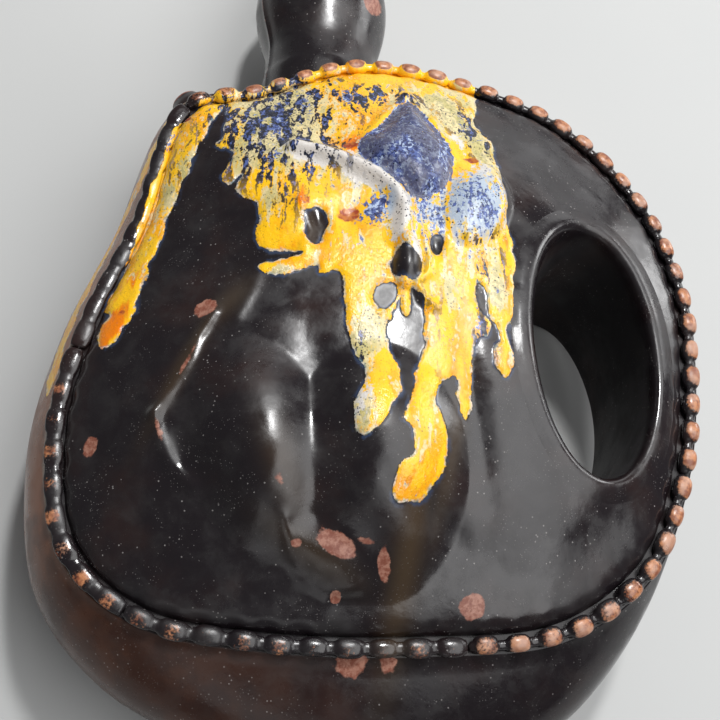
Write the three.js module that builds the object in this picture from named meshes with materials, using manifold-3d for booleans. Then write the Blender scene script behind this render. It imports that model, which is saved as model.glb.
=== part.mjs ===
// Round pottery jug, press-moulded in two halves and lying on its flat back.
// Millimetres. +Z comes out of the decorated front, +Y runs up to the neck and +X to the finger hole.
// The origin is the middle of the flat back.
import * as THREE from 'three';
import { ParametricGeometry } from 'three/addons/geometries/ParametricGeometry.js';
import { mergeVertices } from 'three/addons/utils/BufferGeometryUtils.js';
import Module from 'manifold-3d';

const wasm = await Module();
wasm.setup();

// ---- Driving sizes ----

// Body: two shells that meet in the seam plane.
const bodyWidth = 215; // the bead line, left to right
const bodyHeight = 219; // the bead line, foot to neck
const seamHeight = 60; // seam plane above the flat back
const domeRise = 24; // front panel's middle above its own edge
const panelEdge = 3; // upright edge of the front panel beside the beads
const leftBulge = 9.5; // widest part of the back shell, out from the ledge under the beads
const rightBulge = 1;
const footBulge = 34;
const bulgeHeight = 34; // height of that widest part
const backCurve = 40; // how far the back's edge curves in before the flat starts
const clayWall = 6;
const lutingGap = 0.3; // slip joint between two pieces of clay

// Bead row: rolled beads pressed on the ledge around the front panel.
const beadWidth = 6.4;
const beadPitch = 10.4;
const beadCore = 1.3; // radius of the clay thread between two beads

// Finger hole: an oval tunnel from front to back.
const gripBar = 17; // body outside the hole, out to the bead line
const gripY = -9;
const gripWidth = 44;
const gripLength = 88;
const gripWall = 5;
const gripLip = 3; // how far the tunnel's mouth opens out
const gripWaist = 1.5; // how far the tunnel closes in at its middle
const gripLipRise = 1; // lip above the panel

// Neck: a hollow gourd shape moulded in two halves, with a cork in its mouth.
const neckX = -21;
const neckAxisHeight = 36;
const neckRootRadius = 23;
const neckWaistRadius = 22.5;
const neckBulbRadius = 27;
const neckTopRadius = 16;
const neckLipRadius = 19;
const neckWaistAt = 11; // along the neck, from the body's top
const neckBulbAt = 37;
const neckLength = 80; // to the mouth
const neckRoot = 20; // clay kept below the body's top, before the body's curve trims it
const neckLipHeight = 5;
const neckBore = 12; // radius of the mouth
const neckSeamTurn = 24; // degrees that the halves' seam is turned about the neck, up at the left
const corkTaper = 0.8; // how much the bore and the cork widen to the mouth
const corkDepth = 17; // cork inside the mouth
const corkStand = 9; // cork above the mouth
const corkRound = 1.5;
const corkClearance = 0.3;

// Pouring spout at the body's upper left corner.
const spoutHeight = 43;
const spoutReach = 5; // spout tip beyond the body's side
const spoutTurn = 126; // degrees from +X
const spoutRootRadius = 8.5;
const spoutTipRadius = 6;
const spoutBore = 2.6;

// Foot ring at the bottom end, to stand the jug upright.
const footX = -6;
const footLength = 84;
const footWidth = 34;
const footStand = 4; // foot below the lowest part of the body
const footWall = 8;
const footDepth = 34; // clay kept above the foot's face, before the body's curve trims it

// ---- Colours ----

const blackGlaze = new THREE.MeshStandardMaterial({ color: 0x15100f, roughness: 0.12, metalness: 0 });
const brownGlaze = new THREE.MeshStandardMaterial({ color: 0x4a2c1a, roughness: 0.2, metalness: 0 });
const yellowGlaze = new THREE.MeshStandardMaterial({ color: 0xd9a92c, roughness: 0.2, metalness: 0 });
const blueGlaze = new THREE.MeshStandardMaterial({ color: 0x5f6f9a, roughness: 0.2, metalness: 0 });
const bareClay = new THREE.MeshStandardMaterial({ color: 0x8a4a32, roughness: 0.7, metalness: 0 });
const corkBark = new THREE.MeshStandardMaterial({ color: 0xb98a58, roughness: 0.9, metalness: 0 });

// ---- Closed surfaces and solids ----

// Merges a surface's shared points and drops the flat triangles at its poles.
function weld(surface) {
  const bare = surface.clone();
  bare.deleteAttribute('normal');
  bare.deleteAttribute('uv');
  const merged = mergeVertices(bare, 1e-3);
  const corners = merged.index.array;
  const kept = [];
  for (let i = 0; i < corners.length; i += 3) {
    const [a, b, c] = corners.slice(i, i + 3);
    if (a !== b && b !== c && c !== a) {
      kept.push(a, b, c);
    }
  }
  merged.setIndex(kept);
  merged.computeVertexNormals();
  return merged;
}

// Skins a stack of rings. pointAt(turn, ring) gives a point, with turn from 0 to 1 around the ring.
// The first and last rings are single points, or the same ring for a surface that closes on itself.
function skinRings(pointAt, slices, rings) {
  const place = (u, v, target) => target.copy(pointAt((1 - u) % 1, Math.round(v * (rings - 1))));
  return weld(new ParametricGeometry(place, slices, rings - 1));
}

function toSolid(surface) {
  const welded = weld(surface);
  return new wasm.Manifold(new wasm.Mesh({
    numProp: 3,
    vertProperties: new Float32Array(welded.attributes.position.array),
    triVerts: new Uint32Array(welded.index.array),
  }));
}

function toSurface(solid) {
  const mesh = solid.getMesh();
  const surface = new THREE.BufferGeometry();
  surface.setAttribute('position', new THREE.BufferAttribute(new Float32Array(mesh.vertProperties), 3));
  surface.setIndex([...mesh.triVerts]);
  surface.computeVertexNormals();
  return surface;
}

const jug = new THREE.Group();

function addPiece(name, surface, material) {
  const piece = new THREE.Mesh(surface, material);
  piece.name = name;
  jug.add(piece);
}

// ---- Body outline ----

// The bead line, as shares of half the body's width and height: down the left from the spout's corner.
const beadLine = new THREE.CatmullRomCurve3([
  [-0.665, 0.775], [-0.785, 0.31], [-0.9, -0.018], [-0.963, -0.365], [-0.893, -0.731], [-0.688, -0.904],
  [-0.353, -0.965], [0.12, -0.966], [0.51, -0.917], [0.785, -0.728], [0.932, -0.43], [0.998, -0.1],
  [1.003, 0.2], [0.885, 0.545], [0.636, 0.82], [0.316, 0.955], [-0.074, 1.005], [-0.446, 0.852],
].map(([x, y]) => new THREE.Vector3(x * bodyWidth / 2, y * bodyHeight / 2, 0)), true, 'centripetal');
beadLine.arcLengthDivisions = 720;

const bodySlices = 64;

// Distance from the body's middle to the bead line, in any direction.
const rimSteps = beadLine.getPoints(720).map((point) => ({
  angle: Math.atan2(point.y, point.x),
  radius: Math.hypot(point.x, point.y),
})).sort((one, other) => one.angle - other.angle);

function rimRadius(x, y) {
  const angle = Math.atan2(y, x);
  const next = rimSteps.findIndex((step) => step.angle > angle);
  const high = rimSteps[next < 0 ? 0 : next];
  const low = rimSteps.at(next < 1 ? -1 : next - 1);
  const span = (high.angle - low.angle + 2 * Math.PI) % (2 * Math.PI);
  const part = ((angle - low.angle + 2 * Math.PI) % (2 * Math.PI)) / Math.max(span, 1e-9);
  return low.radius + (high.radius - low.radius) * part;
}

// A point on the ray through the bead line at this turn: a share of the way out, then a step beyond.
function fromMiddle(turn, share, step, z) {
  const rim = beadLine.getPointAt(turn);
  const radius = rim.length();
  const reach = share * (radius + step) / radius;
  return new THREE.Vector3(rim.x * reach, rim.y * reach, z);
}

const panelStep = -beadWidth / 2 - lutingGap; // front panel's edge, from the bead line
const ledgeStep = beadWidth / 2; // ledge's outer edge, from the bead line
const innerStep = panelStep - clayWall; // inside of both shells at the seam
const panelBase = seamHeight + lutingGap / 2;
const domePower = 2.2;

function domeHeight(share, rise) {
  return rise * (1 - share ** domePower);
}

// Height of the front panel's face over any point.
function panelHeight(x, y) {
  const share = Math.min(1, Math.hypot(x, y) / (rimRadius(x, y) + panelStep));
  return panelBase + panelEdge + domeHeight(share, domeRise);
}

// How far the back shell swells beyond the ledge in one direction: most at the foot, least at the right.
function bulgeToward(x, y) {
  const radius = Math.hypot(x, y);
  const side = rightBulge + (leftBulge - rightBulge) * (1 - x / radius) / 2;
  const toFoot = Math.max(0, -y / radius) ** 5;
  return side + (footBulge - side) * toFoot;
}

// A point on the back shell: a share of the bulge out, then a step in or out, at one height.
function backPoint(turn, bulgeShare, step, z) {
  const rim = beadLine.getPointAt(turn);
  return fromMiddle(turn, 1, ledgeStep + bulgeToward(rim.x, rim.y) * bulgeShare + step, z);
}

// Outside of the back shell as [share of the bulge, step, height], from the seam to the flat back.
function backProfile(grow) {
  const profile = [];
  const topSteps = 4;
  for (let i = 0; i <= topSteps; i += 1) {
    const down = i / topSteps;
    const top = seamHeight - lutingGap / 2;
    profile.push([1 - (1 - down) ** 2, grow, top + (bulgeHeight - top) * down]);
  }
  const lowSteps = 6;
  for (let i = 1; i <= lowSteps; i += 1) {
    const angle = i / lowSteps * Math.PI / 2;
    profile.push([
      1,
      grow - backCurve * (1 - Math.cos(angle)),
      bulgeHeight * (1 - Math.sin(angle)) - grow * Math.sin(angle),
    ]);
  }
  return profile;
}

// Height of the back's outside over any point.
function backHeight(x, y) {
  const flatRadius = rimRadius(x, y) + ledgeStep + bulgeToward(x, y) - backCurve;
  const out = Math.min(1, Math.max(0, (Math.hypot(x, y) - flatRadius) / backCurve));
  return bulgeHeight * (1 - Math.sqrt(1 - out * out));
}

// The back shell's outside as one solid, for trimming what is luted to it.
function backEnvelope(grow) {
  const profile = backProfile(grow);
  const rings = profile.length + 2;
  return toSolid(skinRings((turn, ring) => {
    if (ring === 0) {
      return new THREE.Vector3(0, 0, seamHeight + grow);
    }
    if (ring === rings - 1) {
      return new THREE.Vector3(0, 0, -grow);
    }
    const [bulgeShare, step, z] = profile[ring - 1];
    return backPoint(turn, bulgeShare, step, ring === 1 ? seamHeight + grow : z);
  }, bodySlices, rings));
}

// ---- Finger hole ----

const gripX = bodyWidth / 2 - gripBar - gripWidth / 2;

function gripPoint(turn, grow) {
  const angle = turn * 2 * Math.PI;
  const halfWidth = gripWidth / 2;
  const halfLength = gripLength / 2;
  const normal = new THREE.Vector2(Math.cos(angle) / halfWidth, Math.sin(angle) / halfLength).normalize();
  return new THREE.Vector2(
    gripX + halfWidth * Math.cos(angle) + grow * normal.x,
    gripY + halfLength * Math.sin(angle) + grow * normal.y,
  );
}

function gripPrism(grow) {
  const outline = [];
  for (let i = 0; i < 40; i += 1) {
    outline.push(gripPoint(i / 40, grow));
  }
  const depth = 2 * (seamHeight + domeRise);
  const prism = new THREE.ExtrudeGeometry(new THREE.Shape(outline), { depth, bevelEnabled: false });
  prism.translate(0, 0, -depth / 4);
  return toSolid(prism);
}

const gripCut = gripPrism(gripWall + lutingGap);

// Tunnel profile as [step out from the hole's outline, share of the way up], closed on itself.
const tunnelProfile = [
  [gripLip, 0], [gripLip * 0.3, 0.05], [-gripWaist * 0.6, 0.2], [-gripWaist, 0.5], [-gripWaist * 0.6, 0.8],
  [gripLip * 0.3, 0.95], [gripLip, 1], [gripWall, 0.985], [gripWall, 0.015], [gripLip, 0],
];

addPiece('grip_tunnel', skinRings((turn, ring) => {
  const [step, share] = tunnelProfile[ring];
  const point = gripPoint(turn, step);
  const low = backHeight(point.x, point.y);
  const high = panelHeight(point.x, point.y) + gripLipRise;
  return new THREE.Vector3(point.x, point.y, low + (high - low) * share);
}, 40, tunnelProfile.length), blackGlaze);

// ---- Shells ----

const domeRings = 8;

addPiece('front_shell', toSurface(toSolid(skinRings((turn, ring) => {
  if (ring <= domeRings) {
    const share = ring / domeRings;
    return fromMiddle(turn, share, panelStep, panelBase + panelEdge + domeHeight(share, domeRise));
  }
  if (ring === domeRings + 1) {
    return fromMiddle(turn, 1, panelStep, panelBase);
  }
  const share = (2 * domeRings + 2 - ring) / domeRings;
  return fromMiddle(turn, share, innerStep, panelBase + domeHeight(share, domeRise + panelEdge - clayWall));
}, bodySlices, 2 * domeRings + 3)).subtract(gripCut)), blackGlaze);

// Neck axis: a turned shape is made along +Y, with its base at the body's top.
const bodyTop = rimRadius(0, 1) + ledgeStep + bulgeToward(0, 1);

function turnedAlongNeck(profile, slices) {
  const shape = new THREE.LatheGeometry(profile.map(([radius, y]) => new THREE.Vector2(radius, y)), slices);
  shape.translate(neckX, bodyTop, neckAxisHeight);
  return toSolid(shape);
}

// A tapered spout along its own axis, from inside the body's side to beyond it.
const spoutAngle = spoutTurn * Math.PI / 180;
const spoutDirection = new THREE.Vector3(Math.cos(spoutAngle), Math.sin(spoutAngle), 0);
const spoutRoot = rimRadius(spoutDirection.x, spoutDirection.y) - beadWidth;
const spoutTip = rimRadius(spoutDirection.x, spoutDirection.y) + ledgeStep
  + bulgeToward(spoutDirection.x, spoutDirection.y) + spoutReach;

function turnedAlongSpout(profile, slices) {
  const shape = new THREE.LatheGeometry(profile.map(([radius, y]) => new THREE.Vector2(radius, y)), slices);
  shape.rotateZ(spoutAngle - Math.PI / 2);
  shape.translate(0, 0, spoutHeight);
  return toSolid(shape);
}

const neckHole = turnedAlongNeck([[0, -60], [neckBore, -60], [neckBore, 5], [0, 5]], 24);
const spoutHole = turnedAlongSpout([[0, spoutRoot - 30], [spoutBore, spoutRoot - 30], [spoutBore, spoutTip],
  [0, spoutTip]], 12);

const backRings = backProfile(0);
const innerRings = [
  [0, innerStep - ledgeStep, seamHeight - lutingGap / 2],
  [0.8, -clayWall, (seamHeight + bulgeHeight) / 2],
  [1, -clayWall, bulgeHeight],
  [1, -clayWall - backCurve * 0.12, clayWall + bulgeHeight * 0.38],
  [1, -clayWall - backCurve * 0.4, clayWall + bulgeHeight * 0.08],
  [1, -clayWall - backCurve, clayWall],
];

addPiece('back_shell', toSurface(toSolid(skinRings((turn, ring) => {
  if (ring === 0) {
    return new THREE.Vector3(0, 0, clayWall);
  }
  if (ring <= innerRings.length) {
    return backPoint(turn, ...innerRings[innerRings.length - ring]);
  }
  if (ring <= innerRings.length + backRings.length) {
    return backPoint(turn, ...backRings[ring - innerRings.length - 1]);
  }
  return new THREE.Vector3(0, 0, 0);
}, bodySlices, innerRings.length + backRings.length + 2))
  .subtract(gripCut).subtract(neckHole).subtract(spoutHole)), brownGlaze);

// ---- Neck and cork ----

const outside = backEnvelope(lutingGap);
const neckInside = neckBore + corkTaper;

const bulbHalf = (neckBulbAt - neckWaistAt) / 2;
const throatAt = neckLength - 2 * neckLipHeight;

// Up the outside from the root, over the lip and down the inside, as [radius, distance along the neck].
const neck = turnedAlongNeck([
  [neckBore, -neckRoot],
  [neckRootRadius, -neckRoot],
  [neckRootRadius, 0],
  [neckWaistRadius, neckWaistAt],
  [neckBulbRadius * 0.94, neckBulbAt - bulbHalf],
  [neckBulbRadius, neckBulbAt],
  [neckBulbRadius * 0.94, neckBulbAt + bulbHalf],
  [neckTopRadius * 1.3, (neckBulbAt + bulbHalf + throatAt) / 2],
  [neckTopRadius, throatAt],
  [neckLipRadius, neckLength - neckLipHeight],
  [neckLipRadius, neckLength - neckLipHeight / 3],
  [(neckLipRadius + neckInside) / 2, neckLength],
  [neckInside, neckLength - neckLipHeight / 5],
  [neckBore, neckLength - corkDepth - corkRound],
  [neckBulbRadius - clayWall, neckBulbAt + bulbHalf / 2],
  [neckBulbRadius - clayWall, neckBulbAt - bulbHalf / 2],
  [neckWaistRadius - clayWall, neckWaistAt],
  [neckBore, -neckRoot],
], 32).subtract(outside);

for (const [name, side] of [['neck_front_half', 1], ['neck_back_half', -1]]) {
  const block = new THREE.BoxGeometry(4 * neckBulbRadius, 4 * neckLength, 2 * neckBulbRadius);
  block.translate(0, 0, side * (neckBulbRadius + lutingGap / 2));
  block.rotateY(neckSeamTurn * Math.PI / 180);
  block.translate(neckX, bodyTop, neckAxisHeight);
  addPiece(name, toSurface(neck.intersect(toSolid(block))), blackGlaze);
}

addPiece('stopper_cork', toSurface(turnedAlongNeck([
  [0, neckLength - corkDepth],
  [neckBore - corkClearance, neckLength - corkDepth],
  [neckInside - corkClearance, neckLength - neckLipHeight / 5],
  [neckInside + corkTaper, neckLength + corkStand - corkRound],
  [neckInside, neckLength + corkStand],
  [0, neckLength + corkStand],
], 24)), corkBark);

// ---- Pouring spout ----

addPiece('pouring_spout', toSurface(turnedAlongSpout([
  [spoutBore, spoutRoot],
  [spoutRootRadius, spoutRoot],
  [spoutRootRadius, spoutTip - spoutReach * 1.4],
  [spoutTipRadius, spoutTip - spoutReach * 0.5],
  [spoutTipRadius * 0.9, spoutTip - spoutReach * 0.15],
  [spoutTipRadius * 0.6, spoutTip],
  [spoutBore, spoutTip - spoutReach * 0.1],
  [spoutBore, spoutRoot],
], 20).subtract(outside)), blackGlaze);

// ---- Foot ring ----

const bodyBottom = rimRadius(0, -1) + ledgeStep + footBulge;

function footOval(grow) {
  const oval = new THREE.Path();
  oval.absellipse(footX, 0, footLength / 2 + grow, footWidth / 2 + grow, 0, 2 * Math.PI);
  return oval;
}

const footShape = new THREE.Shape(footOval(0).getPoints(24).slice(0, -1));
footShape.holes.push(new THREE.Path(footOval(-footWall).getPoints(24).slice(0, -1).reverse()));
const footBlock = new THREE.ExtrudeGeometry(footShape, { depth: footDepth, bevelEnabled: false });
footBlock.rotateX(-Math.PI / 2);
footBlock.translate(0, -bodyBottom - footStand, bulgeHeight);
addPiece('foot_ring', toSurface(toSolid(footBlock).subtract(outside)), brownGlaze);

// ---- Bead rows ----

const beadLineLength = beadLine.getLength();
const beadCount = Math.round(beadLineLength / beadPitch);
const beadRows = [
  ['bead_row_left', yellowGlaze],
  ['bead_row_lower_left', blackGlaze],
  ['bead_row_bottom', brownGlaze],
  ['bead_row_lower_right', brownGlaze],
  ['bead_row_right', brownGlaze],
  ['bead_row_upper_right', brownGlaze],
  ['bead_row_top', yellowGlaze],
];
const ringsPerBead = 4;

beadRows.forEach(([name, material], row) => {
  const first = Math.round(row * beadCount / beadRows.length);
  const last = Math.round((row + 1) * beadCount / beadRows.length);
  const rings = (last - first) * ringsPerBead + 1;
  addPiece(name, skinRings((turn, ring) => {
    const along = Math.abs(Math.sin(ring / ringsPerBead * Math.PI));
    const isEnd = ring === 0 || ring === rings - 1;
    const swell = isEnd ? 0 : beadCore + (beadWidth / 2 - beadCore) * along ** 0.7;
    const shorten = ring === 0 ? lutingGap : ring === rings - 1 ? -lutingGap : 0;
    const place = (first + ring / ringsPerBead) / beadCount + shorten / beadLineLength;
    const centre = beadLine.getPointAt(place % 1);
    const tangent = beadLine.getTangentAt(place % 1);
    const out = new THREE.Vector3(tangent.y, -tangent.x, 0);
    const angle = turn * 2 * Math.PI;
    return new THREE.Vector3(
      centre.x + out.x * swell * Math.cos(angle),
      centre.y + out.y * swell * Math.cos(angle),
      seamHeight + lutingGap + Math.max(swell, beadCore) + swell * Math.sin(angle),
    );
  }, 8, rings), material);
});

// ---- Sprigs: relief pieces pressed in their own small moulds and luted to the front panel ----

const sprigEdge = 0.8; // thinnest clay at a sprig's edge

// The pattern is laid out on a body of this size, and stretches with the body.
const patternWidth = 215;
const patternHeight = 219;

// Length, width and height in mm, then the turn of the length in degrees from +X.
// point sharpens both ends, from 0 for an oval to 1 for a leaf.
const sprigs = [
  { name: 'sprig_round_fruit', x: 1, y: -36, size: [74, 42, 12], turn: 95, point: 0 },
  { name: 'sprig_long_fruit', x: -42, y: -39, size: [56, 31, 9], turn: 110, point: 0 },
  { name: 'sprig_small_pod', x: -18, y: -82, size: [28, 15, 5], turn: -25, point: 0.3 },
  { name: 'sprig_blue_leaf', x: 6, y: 57, size: [44, 30, 7], turn: 92, point: 0.7 },
  { name: 'sprig_hood_leaf', x: -17, y: 42, size: [40, 15, 7], turn: -33, point: 0.5 },
  { name: 'sprig_side_lobe', x: 30, y: 36, size: [34, 17, 5], turn: 70, point: 0.3 },
  { name: 'sprig_bud', x: 5, y: 13, size: [19, 9, 5], turn: 90, point: 0.2 },
  { name: 'sprig_leaf_rib', x: -67, y: -26, size: [42, 6, 3], turn: 66, point: 0.6 },
];

for (const { name, x, y, size: [length, width, height], turn: degrees, point } of sprigs) {
  const lie = degrees * Math.PI / 180;
  const domeSteps = 4;
  const profile = [];
  for (let i = 0; i <= domeSteps; i += 1) {
    const share = Math.sin(i / domeSteps * Math.PI / 2);
    profile.push([share, sprigEdge + height * (1 - share ** 2)]);
  }
  profile.push([1, 0], [0.67, 0], [0.33, 0], [0, 0]);
  addPiece(name, skinRings((turn, ring) => {
    const [share, lift] = profile[ring];
    const angle = turn * 2 * Math.PI;
    const along = share * length / 2 * Math.cos(angle);
    const across = share * width / 2 * Math.sin(angle) * Math.abs(Math.sin(angle)) ** point;
    const px = (x + along * Math.cos(lie) - across * Math.sin(lie)) * bodyWidth / patternWidth;
    const py = (y + along * Math.sin(lie) + across * Math.cos(lie)) * bodyHeight / patternHeight;
    return new THREE.Vector3(px, py, panelHeight(px, py) + lutingGap + lift);
  }, 20, profile.length), name === 'sprig_blue_leaf' ? blueGlaze : blackGlaze);
}

export default jug;
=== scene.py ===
# A round pottery jug, pressed in two halves, glazed black with a yellow and blue glaze poured over the top.
# It lies on its flat back. The CAD model is the fixed frame; sizes below are millimetres in that frame.
import math

import bmesh
import bpy
import numpy as np
from mathutils import Matrix, Vector, noise


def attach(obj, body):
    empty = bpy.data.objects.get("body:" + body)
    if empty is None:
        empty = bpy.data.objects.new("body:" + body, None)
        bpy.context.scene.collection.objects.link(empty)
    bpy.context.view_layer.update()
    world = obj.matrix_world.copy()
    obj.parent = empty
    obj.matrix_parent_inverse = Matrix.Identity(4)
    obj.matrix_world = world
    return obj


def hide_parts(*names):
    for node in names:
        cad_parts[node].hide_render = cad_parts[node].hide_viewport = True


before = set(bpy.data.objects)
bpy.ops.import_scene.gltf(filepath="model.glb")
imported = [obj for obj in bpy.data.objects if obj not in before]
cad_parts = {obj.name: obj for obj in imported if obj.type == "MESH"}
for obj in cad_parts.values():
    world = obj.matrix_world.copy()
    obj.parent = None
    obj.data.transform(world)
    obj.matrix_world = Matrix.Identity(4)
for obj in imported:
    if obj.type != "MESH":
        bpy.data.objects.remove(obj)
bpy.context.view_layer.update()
MM = 0.001

# ---- Camera ----
# Above the jug, leaning towards its foot and its left side.
# The neck's upper half is out of view, and so is the back.

CAMERA_TARGET = Vector((-8, -12, 60)) * MM
CAMERA_BACK = Vector((-0.1261, -0.4226, 0.8975)).normalized()
CAMERA_DISTANCE = 360 * MM
SENSOR_WIDTH, LENS = 36, 54

camera = bpy.data.objects.new("Camera", bpy.data.cameras.new("Camera"))
bpy.context.scene.collection.objects.link(camera)
camera.data.sensor_width = SENSOR_WIDTH
camera.data.lens = LENS
camera_right = Vector((CAMERA_BACK.z, 0, -CAMERA_BACK.x)).normalized()
camera_up = CAMERA_BACK.cross(camera_right)
camera.matrix_world = Matrix((
    (camera_right.x, camera_up.x, CAMERA_BACK.x, 0),
    (camera_right.y, camera_up.y, CAMERA_BACK.y, 0),
    (camera_right.z, camera_up.z, CAMERA_BACK.z, 0),
    (0, 0, 0, 1),
))
camera.location = CAMERA_TARGET + CAMERA_BACK * CAMERA_DISTANCE
camera.data.clip_start = 0.01
camera.data.clip_end = 20
bpy.context.scene.camera = camera
bpy.context.scene.view_settings.view_transform = "Standard"

# ---- Table and lights ----
# A plain pale table top, smooth and dull, for the jug to lie on.
# The lights are soft: a small bright lamp above the neck end, and wide dim panels around it.


class Wire:
    """A socket in a material's nodes. Arithmetic on it adds Math nodes."""

    def __init__(self, tree, socket=None):
        self.tree = tree
        self.socket = socket

    def node(self, kind, settings=None, out=0, **inputs):
        """Adds a node: its settings first, then a value or a wire for each socket, by identifier."""
        made = self.tree.nodes.new(kind)
        for name, value in (settings or {}).items():
            setattr(made, name, value)
        sockets = {s.identifier: s for s in made.inputs}
        for name, value in inputs.items():
            socket = sockets[name]
            if isinstance(value, Wire):
                self.tree.links.new(value.socket, socket)
            elif hasattr(value, "__len__") and socket.type == "RGBA":
                socket.default_value = (*value, 1)
            else:
                socket.default_value = value
        found = made.outputs[out] if isinstance(out, int) else next(
            s for s in made.outputs if s.identifier == out)
        return Wire(self.tree, found)

    def math(self, operation, *values):
        names = ("Value", "Value_001", "Value_002")
        return self.node("ShaderNodeMath", {"operation": operation}, **dict(zip(names, values)))

    def __add__(self, other):
        return self.math("ADD", self, other)

    def __sub__(self, other):
        return self.math("SUBTRACT", self, other)

    def __rsub__(self, other):
        return self.math("SUBTRACT", other, self)

    def __mul__(self, other):
        return self.math("MULTIPLY", self, other)

    __radd__ = __add__
    __rmul__ = __mul__

    def clamped(self):
        return self.node("ShaderNodeClamp", Value=self)

    def step(self, low, high):
        """0 below low and 1 above high, with a smooth rise between; high may be the lower one."""
        if low > high:
            return 1 - self.step(high, low)
        return self.node(
            "ShaderNodeMapRange", {"interpolation_type": "SMOOTHSTEP"},
            **{"Value": self, "From Min": low, "From Max": high})

    def mix(self, off, on):
        """The colour off where this value is 0, and on where it is 1."""
        return self.node(
            "ShaderNodeMix", {"data_type": "RGBA"}, out="Result_Color",
            Factor_Float=self, A_Color=off, B_Color=on)

    def attribute(self, name):
        return self.node("ShaderNodeAttribute", {"attribute_name": name}, out="Fac")

    def place(self, stretch=(1, 1, 1)):
        """Object coordinates in millimetres, each axis divided by its stretch."""
        coordinates = self.node("ShaderNodeTexCoord", out="Object")
        scale = [1 / MM / s for s in stretch]
        return self.node(
            "ShaderNodeVectorMath", {"operation": "MULTIPLY"},
            Vector=coordinates, Vector_001=scale)

    def noise(self, size, detail=3, stretch=(1, 1, 1), roughness=0.5, distortion=0, seed=0):
        """Noise from 0 to 1 with features about this many millimetres across."""
        return self.node(
            "ShaderNodeTexNoise", {"noise_dimensions": "4D"}, out="Fac",
            Vector=self.place(stretch), W=seed, Scale=1 / size, Detail=detail,
            Roughness=roughness, Distortion=distortion)

    def cells(self, size):
        """Distance to the nearest of scattered points, as a share of this many millimetres."""
        return self.node("ShaderNodeTexVoronoi", out="Distance", Vector=self.place(), Scale=1 / size)


def principled(material):
    return next(n for n in material.node_tree.nodes if n.type == "BSDF_PRINCIPLED")


def new_material(name):
    """A new material, its Principled shader, and a Wire to start from."""
    material = bpy.data.materials.new(name)
    material.use_nodes = True
    return material, principled(material), Wire(material.node_tree)


def drive(shader, **inputs):
    """Links a wire to each named input of a Principled shader."""
    tree = shader.id_data
    for name, wire in inputs.items():
        tree.links.new(wire.socket, shader.inputs[name.replace("_", " ")])


def new_mesh(name, points, faces):
    """A smooth mesh object from points in millimetres."""
    mesh = bpy.data.meshes.new(name)
    mesh.from_pydata((np.asarray(points, float) * MM).tolist(), [], [list(map(int, f)) for f in faces])
    mesh.validate()
    mesh.update()
    mesh.shade_smooth()
    piece = bpy.data.objects.new(name, mesh)
    bpy.context.scene.collection.objects.link(piece)
    return piece


def grid_faces(cells):
    """Quads on a square grid of points, this many cells each way, row after row."""
    row = cells + 1
    corner = (np.arange(cells)[:, None] * row + np.arange(cells)).ravel()
    return np.stack([corner, corner + 1, corner + row + 1, corner + row], 1)


FLOOR_HALF, FLOOR_CELLS = 1500, 8
TABLE_GREY, TABLE_PALE = (0.47, 0.48, 0.48), (0.54, 0.54, 0.53)

floor_grid = np.linspace(-FLOOR_HALF, FLOOR_HALF, FLOOR_CELLS + 1)
floor_points = [(x, y, 0) for y in floor_grid for x in floor_grid]
floor = new_mesh("floor", floor_points, grid_faces(FLOOR_CELLS))
floor_material, floor_shader, wire = new_material("table_top")
drive(floor_shader, Base_Color=wire.noise(220, 4).mix(TABLE_GREY, TABLE_PALE))
floor_shader.inputs["Roughness"].default_value = 0.75
floor.data.materials.append(floor_material)

ROOM_LIGHT, ROOM_STRENGTH = (0.95, 0.97, 1.0, 1), 0.14
world = bpy.data.worlds.new("studio")
world.use_nodes = True
background = next(n for n in world.node_tree.nodes if n.type == "BACKGROUND")
background.inputs["Color"].default_value = ROOM_LIGHT
background.inputs["Strength"].default_value = ROOM_STRENGTH
bpy.context.scene.world = world

# Each lamp as name, direction from the jug, distance in metres, width and height in metres, watts.
LAMPS = [
    ("key", (0.13, 0.42, 0.90), 1.1, 0.10, 0.14, 7.5),
    ("window", (0.50, -0.12, 0.86), 1.2, 1.6, 0.9, 13),
    ("side_window", (0.84, 0.50, 0.25), 1.4, 0.5, 0.4, 4.5),
    ("ceiling", (0.02, 0.72, 0.70), 1.6, 0.7, 0.35, 1.0),
    ("far_wall", (0.35, 0.90, 0.25), 1.6, 1.2, 0.5, 2.6),
    ("foot_fill", (-0.2, -1.0, 0.5), 1.4, 0.7, 0.4, 0.7),
]
for lamp_name, direction, distance, lamp_width, lamp_height, watts in LAMPS:
    light = bpy.data.lights.new(lamp_name, "AREA")
    light.shape = "RECTANGLE"
    light.size = lamp_width
    light.size_y = lamp_height
    light.energy = watts
    lamp = bpy.data.objects.new(lamp_name, light)
    bpy.context.scene.collection.objects.link(lamp)
    lamp.location = CAMERA_TARGET + Vector(direction).normalized() * distance
    lamp.rotation_mode = "QUATERNION"
    lamp.rotation_quaternion = Vector(direction).to_track_quat("Z", "Y")

# ---- Poured glaze ----
# A second glaze, poured over the black one at the neck end while the jug stood up.
# It ran towards the foot, yellow where it is thick, cream and blue where it mingled, and it stands proud.

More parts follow.
